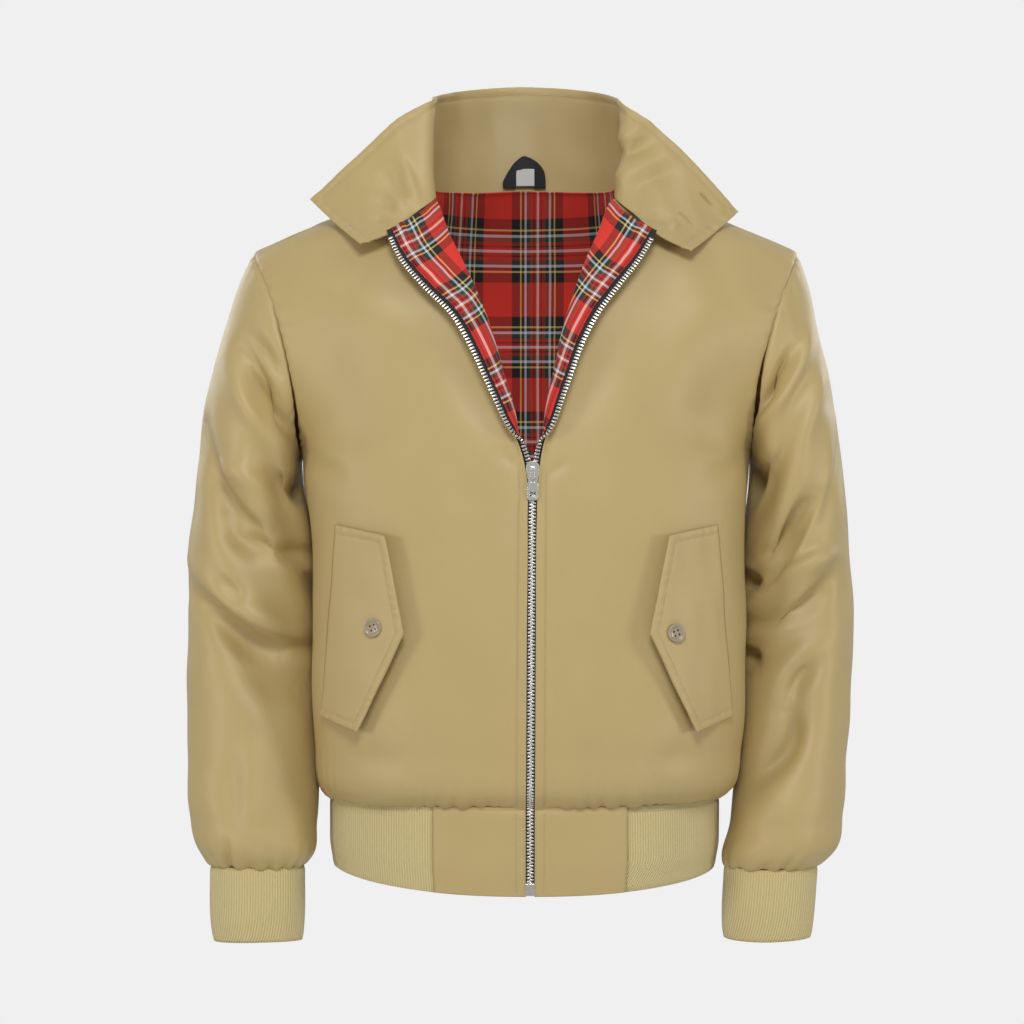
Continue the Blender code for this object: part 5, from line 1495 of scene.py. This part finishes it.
frames = []
for side, sign in SIDES.items():
    ups, lapel, lapel_out = ZIP_RUN[side]
    below = ups < SLIDER_UP
    frames += stitch_frames(lapel[below, 0] + lapel_out[below, 0] * SHELL * 0.5, lapel_out[below, 0])
    plan = band_plan(side, np.array([0.0120, 0.0124]))
    rows = band_rows(plan, np.linspace(0.97, 0.04, 20))
    front = np.tile([0.0, -1.0, 0.0], (20, 1))
    frames += stitch_frames(rows[:, 0] + front * DOUBLED * 0.5, front)
placket_stitches = repeated("stitches_placket", GRAIN, frames, THREAD)
dress(placket_stitches, [])

# The wings' inner faces look at the viewer, so the stitches lie on the side of the collar nearer the neck.
frames = []
for end in (0, 1):
    distance = collar_flat[..., 0] if end == 0 else collar_flat[:, -1:, 0] - collar_flat[..., 0]
    for face in (-1, 1):
        use = slice(8, len(collar) - 4)
        grid, ways = wing_cloth[use], collar_out[use] * face
        points, ways = line_at(grid, ways, distance[use], 0.0070, COLLAR_THICK / 2)
        frames += stitch_frames(points, ways)
for face in (-1, 1):
    use = slice(4, collar.shape[1] - 4)
    grid, ways, wanted = (a.swapaxes(0, 1) for a in (wing_cloth, collar_out * face, from_top))
    points, ways = line_at(grid[use], ways[use], wanted[use], 0.0070, COLLAR_THICK / 2)
    frames += stitch_frames(points, ways)
collar_stitches = repeated("stitches_collar", GRAIN, frames, THREAD)
dress(collar_stitches, [])


def buttonhole_frames(centre, out, along, long=0.016, half=0.0016):
    """Grains side by side down both edges of a slit, and a few across each end."""
    out, along = unit(out), unit(along - out * (along @ out))
    across = np.cross(out, along)
    frames = []
    for s in np.arange(-long / 2, long / 2, 0.00075):
        for edge in (-1, 1):
            frames.append((centre + along * s + across * edge * (half * 0.62), along, across, out))
    for end in (-1, 1):
        for s in np.linspace(-half, half, 6):
            frames.append((centre + along * end * long / 2 + across * s, across, along, out))
    return frames


def on_wing(x, z):
    """The visible face of a collar wing at this x and z, and its normal."""
    wing = np.abs(collar_alongs - 0.5) > 0.22
    gap = (wing_cloth[..., 0] - x) ** 2 + (wing_cloth[..., 2] - z) ** 2 + np.where(wing, 0, 1.0)[None]
    r, c = np.unravel_index(gap.argmin(), gap.shape)
    out = collar_out[r, c] * -np.sign(collar_out[r, c][1])
    near = wing_cloth[r, c]
    y = near[1] - ((x - near[0]) * out[0] + (z - near[2]) * out[2]) / out[1]
    return np.array([x, y, z]) + out * COLLAR_THICK / 2, out


frames = []
for x0, z0, x1, z1 in ((0.1525, -0.0180, 0.1665, -0.0334), (0.1341, -0.0383, 0.1467, -0.0509)):
    ends = [on_wing(x0, z0), on_wing(x1, z1)]
    centre, out = (ends[0][0] + ends[1][0]) / 2, unit(ends[0][1] + ends[1][1])
    frames += buttonhole_frames(centre, out, ends[1][0] - ends[0][0], 0.0165)
for x, z in ((-0.1543, -0.0118), (-0.1417, -0.0317)):  # the collar buttons' thread, seen from its other side
    here, out = on_wing(x, z)
    for shift in (-0.0004, 0.0004):
        way = unit(np.array([0.55, 0, -0.83]) - out * (np.array([0.55, 0, -0.83]) @ out))
        side_way = np.cross(way, out)
        for s in (-0.0012, 0.0004, 0.0016):
            frames.append((here + side_way * shift + way * s, side_way, way, out))
for side, (centre, out, across) in BUTTON_PLACES.items():
    # Only the end of a flap's buttonhole shows past its button.
    away = across * -SIDES[side]
    here = centre - out * BUTTON_H * 0.5 + away * 0.0098
    for s in np.linspace(-0.0012, 0.0012, 4):
        frames.append((here + np.cross(out, away) * s, np.cross(out, away), away, out))
    for s in (-0.0012, 0.0012):
        frames.append((here - away * 0.0012 + np.cross(out, away) * s, away, np.cross(out, away), out))
holes = repeated("stitches_buttonholes", BAR, frames, THREAD)
dress(holes, [])

# %% [markdown]
# At the nape a black ribbon is folded into an arch to hang the jacket by, and a small white tag is sewn
# inside it. Both are left bare here. The ribbon is flat, so its shape is an outline bent to the collar.

# %% Hanger loop and tag
LOOP = table(
    "along outer_x outer_z inner_x inner_z",
    (0.00, -0.0192, -0.0020, -0.0074, -0.0020),
    (0.15, -0.0192, 0.0046, -0.0074, 0.0046),
    (0.30, -0.0132, 0.0165, -0.0074, 0.0120),
    (0.42, -0.0074, 0.0248, -0.0062, 0.0152),
    (0.50, -0.0008, 0.0300, 0.0002, 0.0158),
    (0.58, 0.0040, 0.0292, 0.0054, 0.0156),
    (0.70, 0.0122, 0.0240, 0.0094, 0.0130),
    (0.85, 0.0192, 0.0135, 0.0096, 0.0060),
    (1.00, 0.0205, -0.0020, 0.0096, -0.0020),
)
LEAN, UPRIGHT = np.array([0, -0.97, 0.24]), np.array([0, 0.24, 0.97])


def at_nape(x, z, out):
    """A point of a flat piece lying on the collar's inside, bent as the collar is."""
    place = np.array([0, 0.0796, 0.0035]) + np.multiply.outer(z, UPRIGHT) + np.multiply.outer(out, LEAN)
    place = place + np.multiply.outer(x, [1.0, 0, 0])
    place[..., 1] -= 6.0 * x**2
    return place


t = np.linspace(0, 1, 60)
outer = np.stack([read(LOOP, "outer_x", t), read(LOOP, "outer_z", t)], axis=-1)
inner = np.stack([read(LOOP, "inner_x", t), read(LOOP, "inner_z", t)], axis=-1)
ring = np.array([inner + (outer - inner) * s for s in np.linspace(0, 1, 14)])
shares_in = np.linspace(0, 1, 14)[:, None]
lift = 0.0006 + 0.0016 * np.sin(math.pi * t)[None] * (1 - shares_in)
lift = lift + 0.0007 * np.sin(9 * t)[None] * shares_in
loop = at_nape(ring[..., 0], ring[..., 1], lift)
whole = cloth("ribbon_hanger_loop", [loop], 0.0008, BLACK)
dress(whole, ["hanger_loop"], [loop])

x, z = np.meshgrid(np.linspace(-0.0070, 0.0098, 24), np.linspace(-0.0005, 0.0163, 22))
tag = at_nape(x, z, 0.0022 + 0.0006 * np.sin((x + 0.002) * 260) * (z / 0.0163))
whole = cloth("woven_size_tag", [tag], 0.0006, WHITE)
dress(whole, ["size_tag"], [tag])

# %% [markdown]
# Light, floor and camera. One broad soft light in front and above does most of the work. Two small low ones
# at the sides are equal, so that folds turn gently into shade, and two behind show the back. The camera sees
# a pale room; cloth is lit by a dimmer one, and metal mirrors a part of the pale one. The floor lies well
# below the hollow jacket.

# %% Light, floor and camera
scene = bpy.context.scene
scene.view_settings.view_transform = "Standard"
world = bpy.data.worlds.new("pale studio")
scene.world = world
world.use_nodes = True
tree = world.node_tree
seen = tree.nodes["Background"]
lit = node(tree, "Background", {"Color": (0.92, 0.95, 1.0, 1), "Strength": 0.30})
seen.inputs["Color"].default_value = (0.871, 0.871, 0.871, 1)
seen.inputs["Strength"].default_value = 1.0
ray = node(tree, "LightPath")
mirrored = node(tree, "Math", {0: ray.outputs["Is Glossy Ray"], 1: 0.32}, operation="MULTIPLY").outputs[0]
share = node(tree, "Math", {0: ray.outputs["Is Camera Ray"], 1: mirrored}, operation="MAXIMUM").outputs[0]
mixed = node(tree, "MixShader", {0: share, 1: lit.outputs[0], 2: seen.outputs[0]})
tree.links.new(mixed.outputs[0], tree.nodes["World Output"].inputs["Surface"])


def soft_light(name, place, size, power, colour="ffffff", aim=(0, 0, -0.3)):
    lamp = bpy.data.lights.new(name, "AREA")
    lamp.shape, lamp.size, lamp.energy = "DISK", size, power
    lamp.color = linear(colour)
    lit = bpy.data.objects.new(name, lamp)
    scene.collection.objects.link(lit)
    lit.location = place
    lit.rotation_euler = (Vector(aim) - Vector(place)).to_track_quat("-Z", "Y").to_euler()


soft_light("key, left", (-2.1, -1.45, -0.2), 0.6, 13, "fff8ee")
soft_light("second, right", (2.2, -1.40, -0.2), 0.6, 13, "fffaf2")
soft_light("broad fill, front and above", (0.0, -2.5, 1.35), 0.9, 36)
soft_light("top", (0.0, 0.3, 2.0), 1.2, 5)
soft_light("behind, left", (-1.6, 1.9, 0.5), 1.2, 9)
soft_light("behind, right", (1.6, 1.9, 0.5), 1.2, 9)

bm = bmesh.new()
bmesh.ops.create_circle(bm, cap_ends=True, segments=96, radius=3.4)
bmesh.ops.translate(bm, vec=(0, 0, -1.6), verts=bm.verts)
mesh = bpy.data.meshes.new("floor")
bm.to_mesh(mesh)
bm.free()
floor = bpy.data.objects.new("floor", mesh)
scene.collection.objects.link(floor)
PALE, _, _ = start("matt studio floor", "f0f0f0", 0.9)
floor.data.materials.append(PALE)

view = bpy.data.cameras.new("camera")
view.angle = 2 * math.atan(0.9216 / 2 / 2.2)
camera = bpy.data.objects.new("camera", view)
camera.location, camera.rotation_euler = (-0.011, -2.2, -0.300), (math.pi / 2, 0, 0)
scene.collection.objects.link(camera)
scene.camera = camera
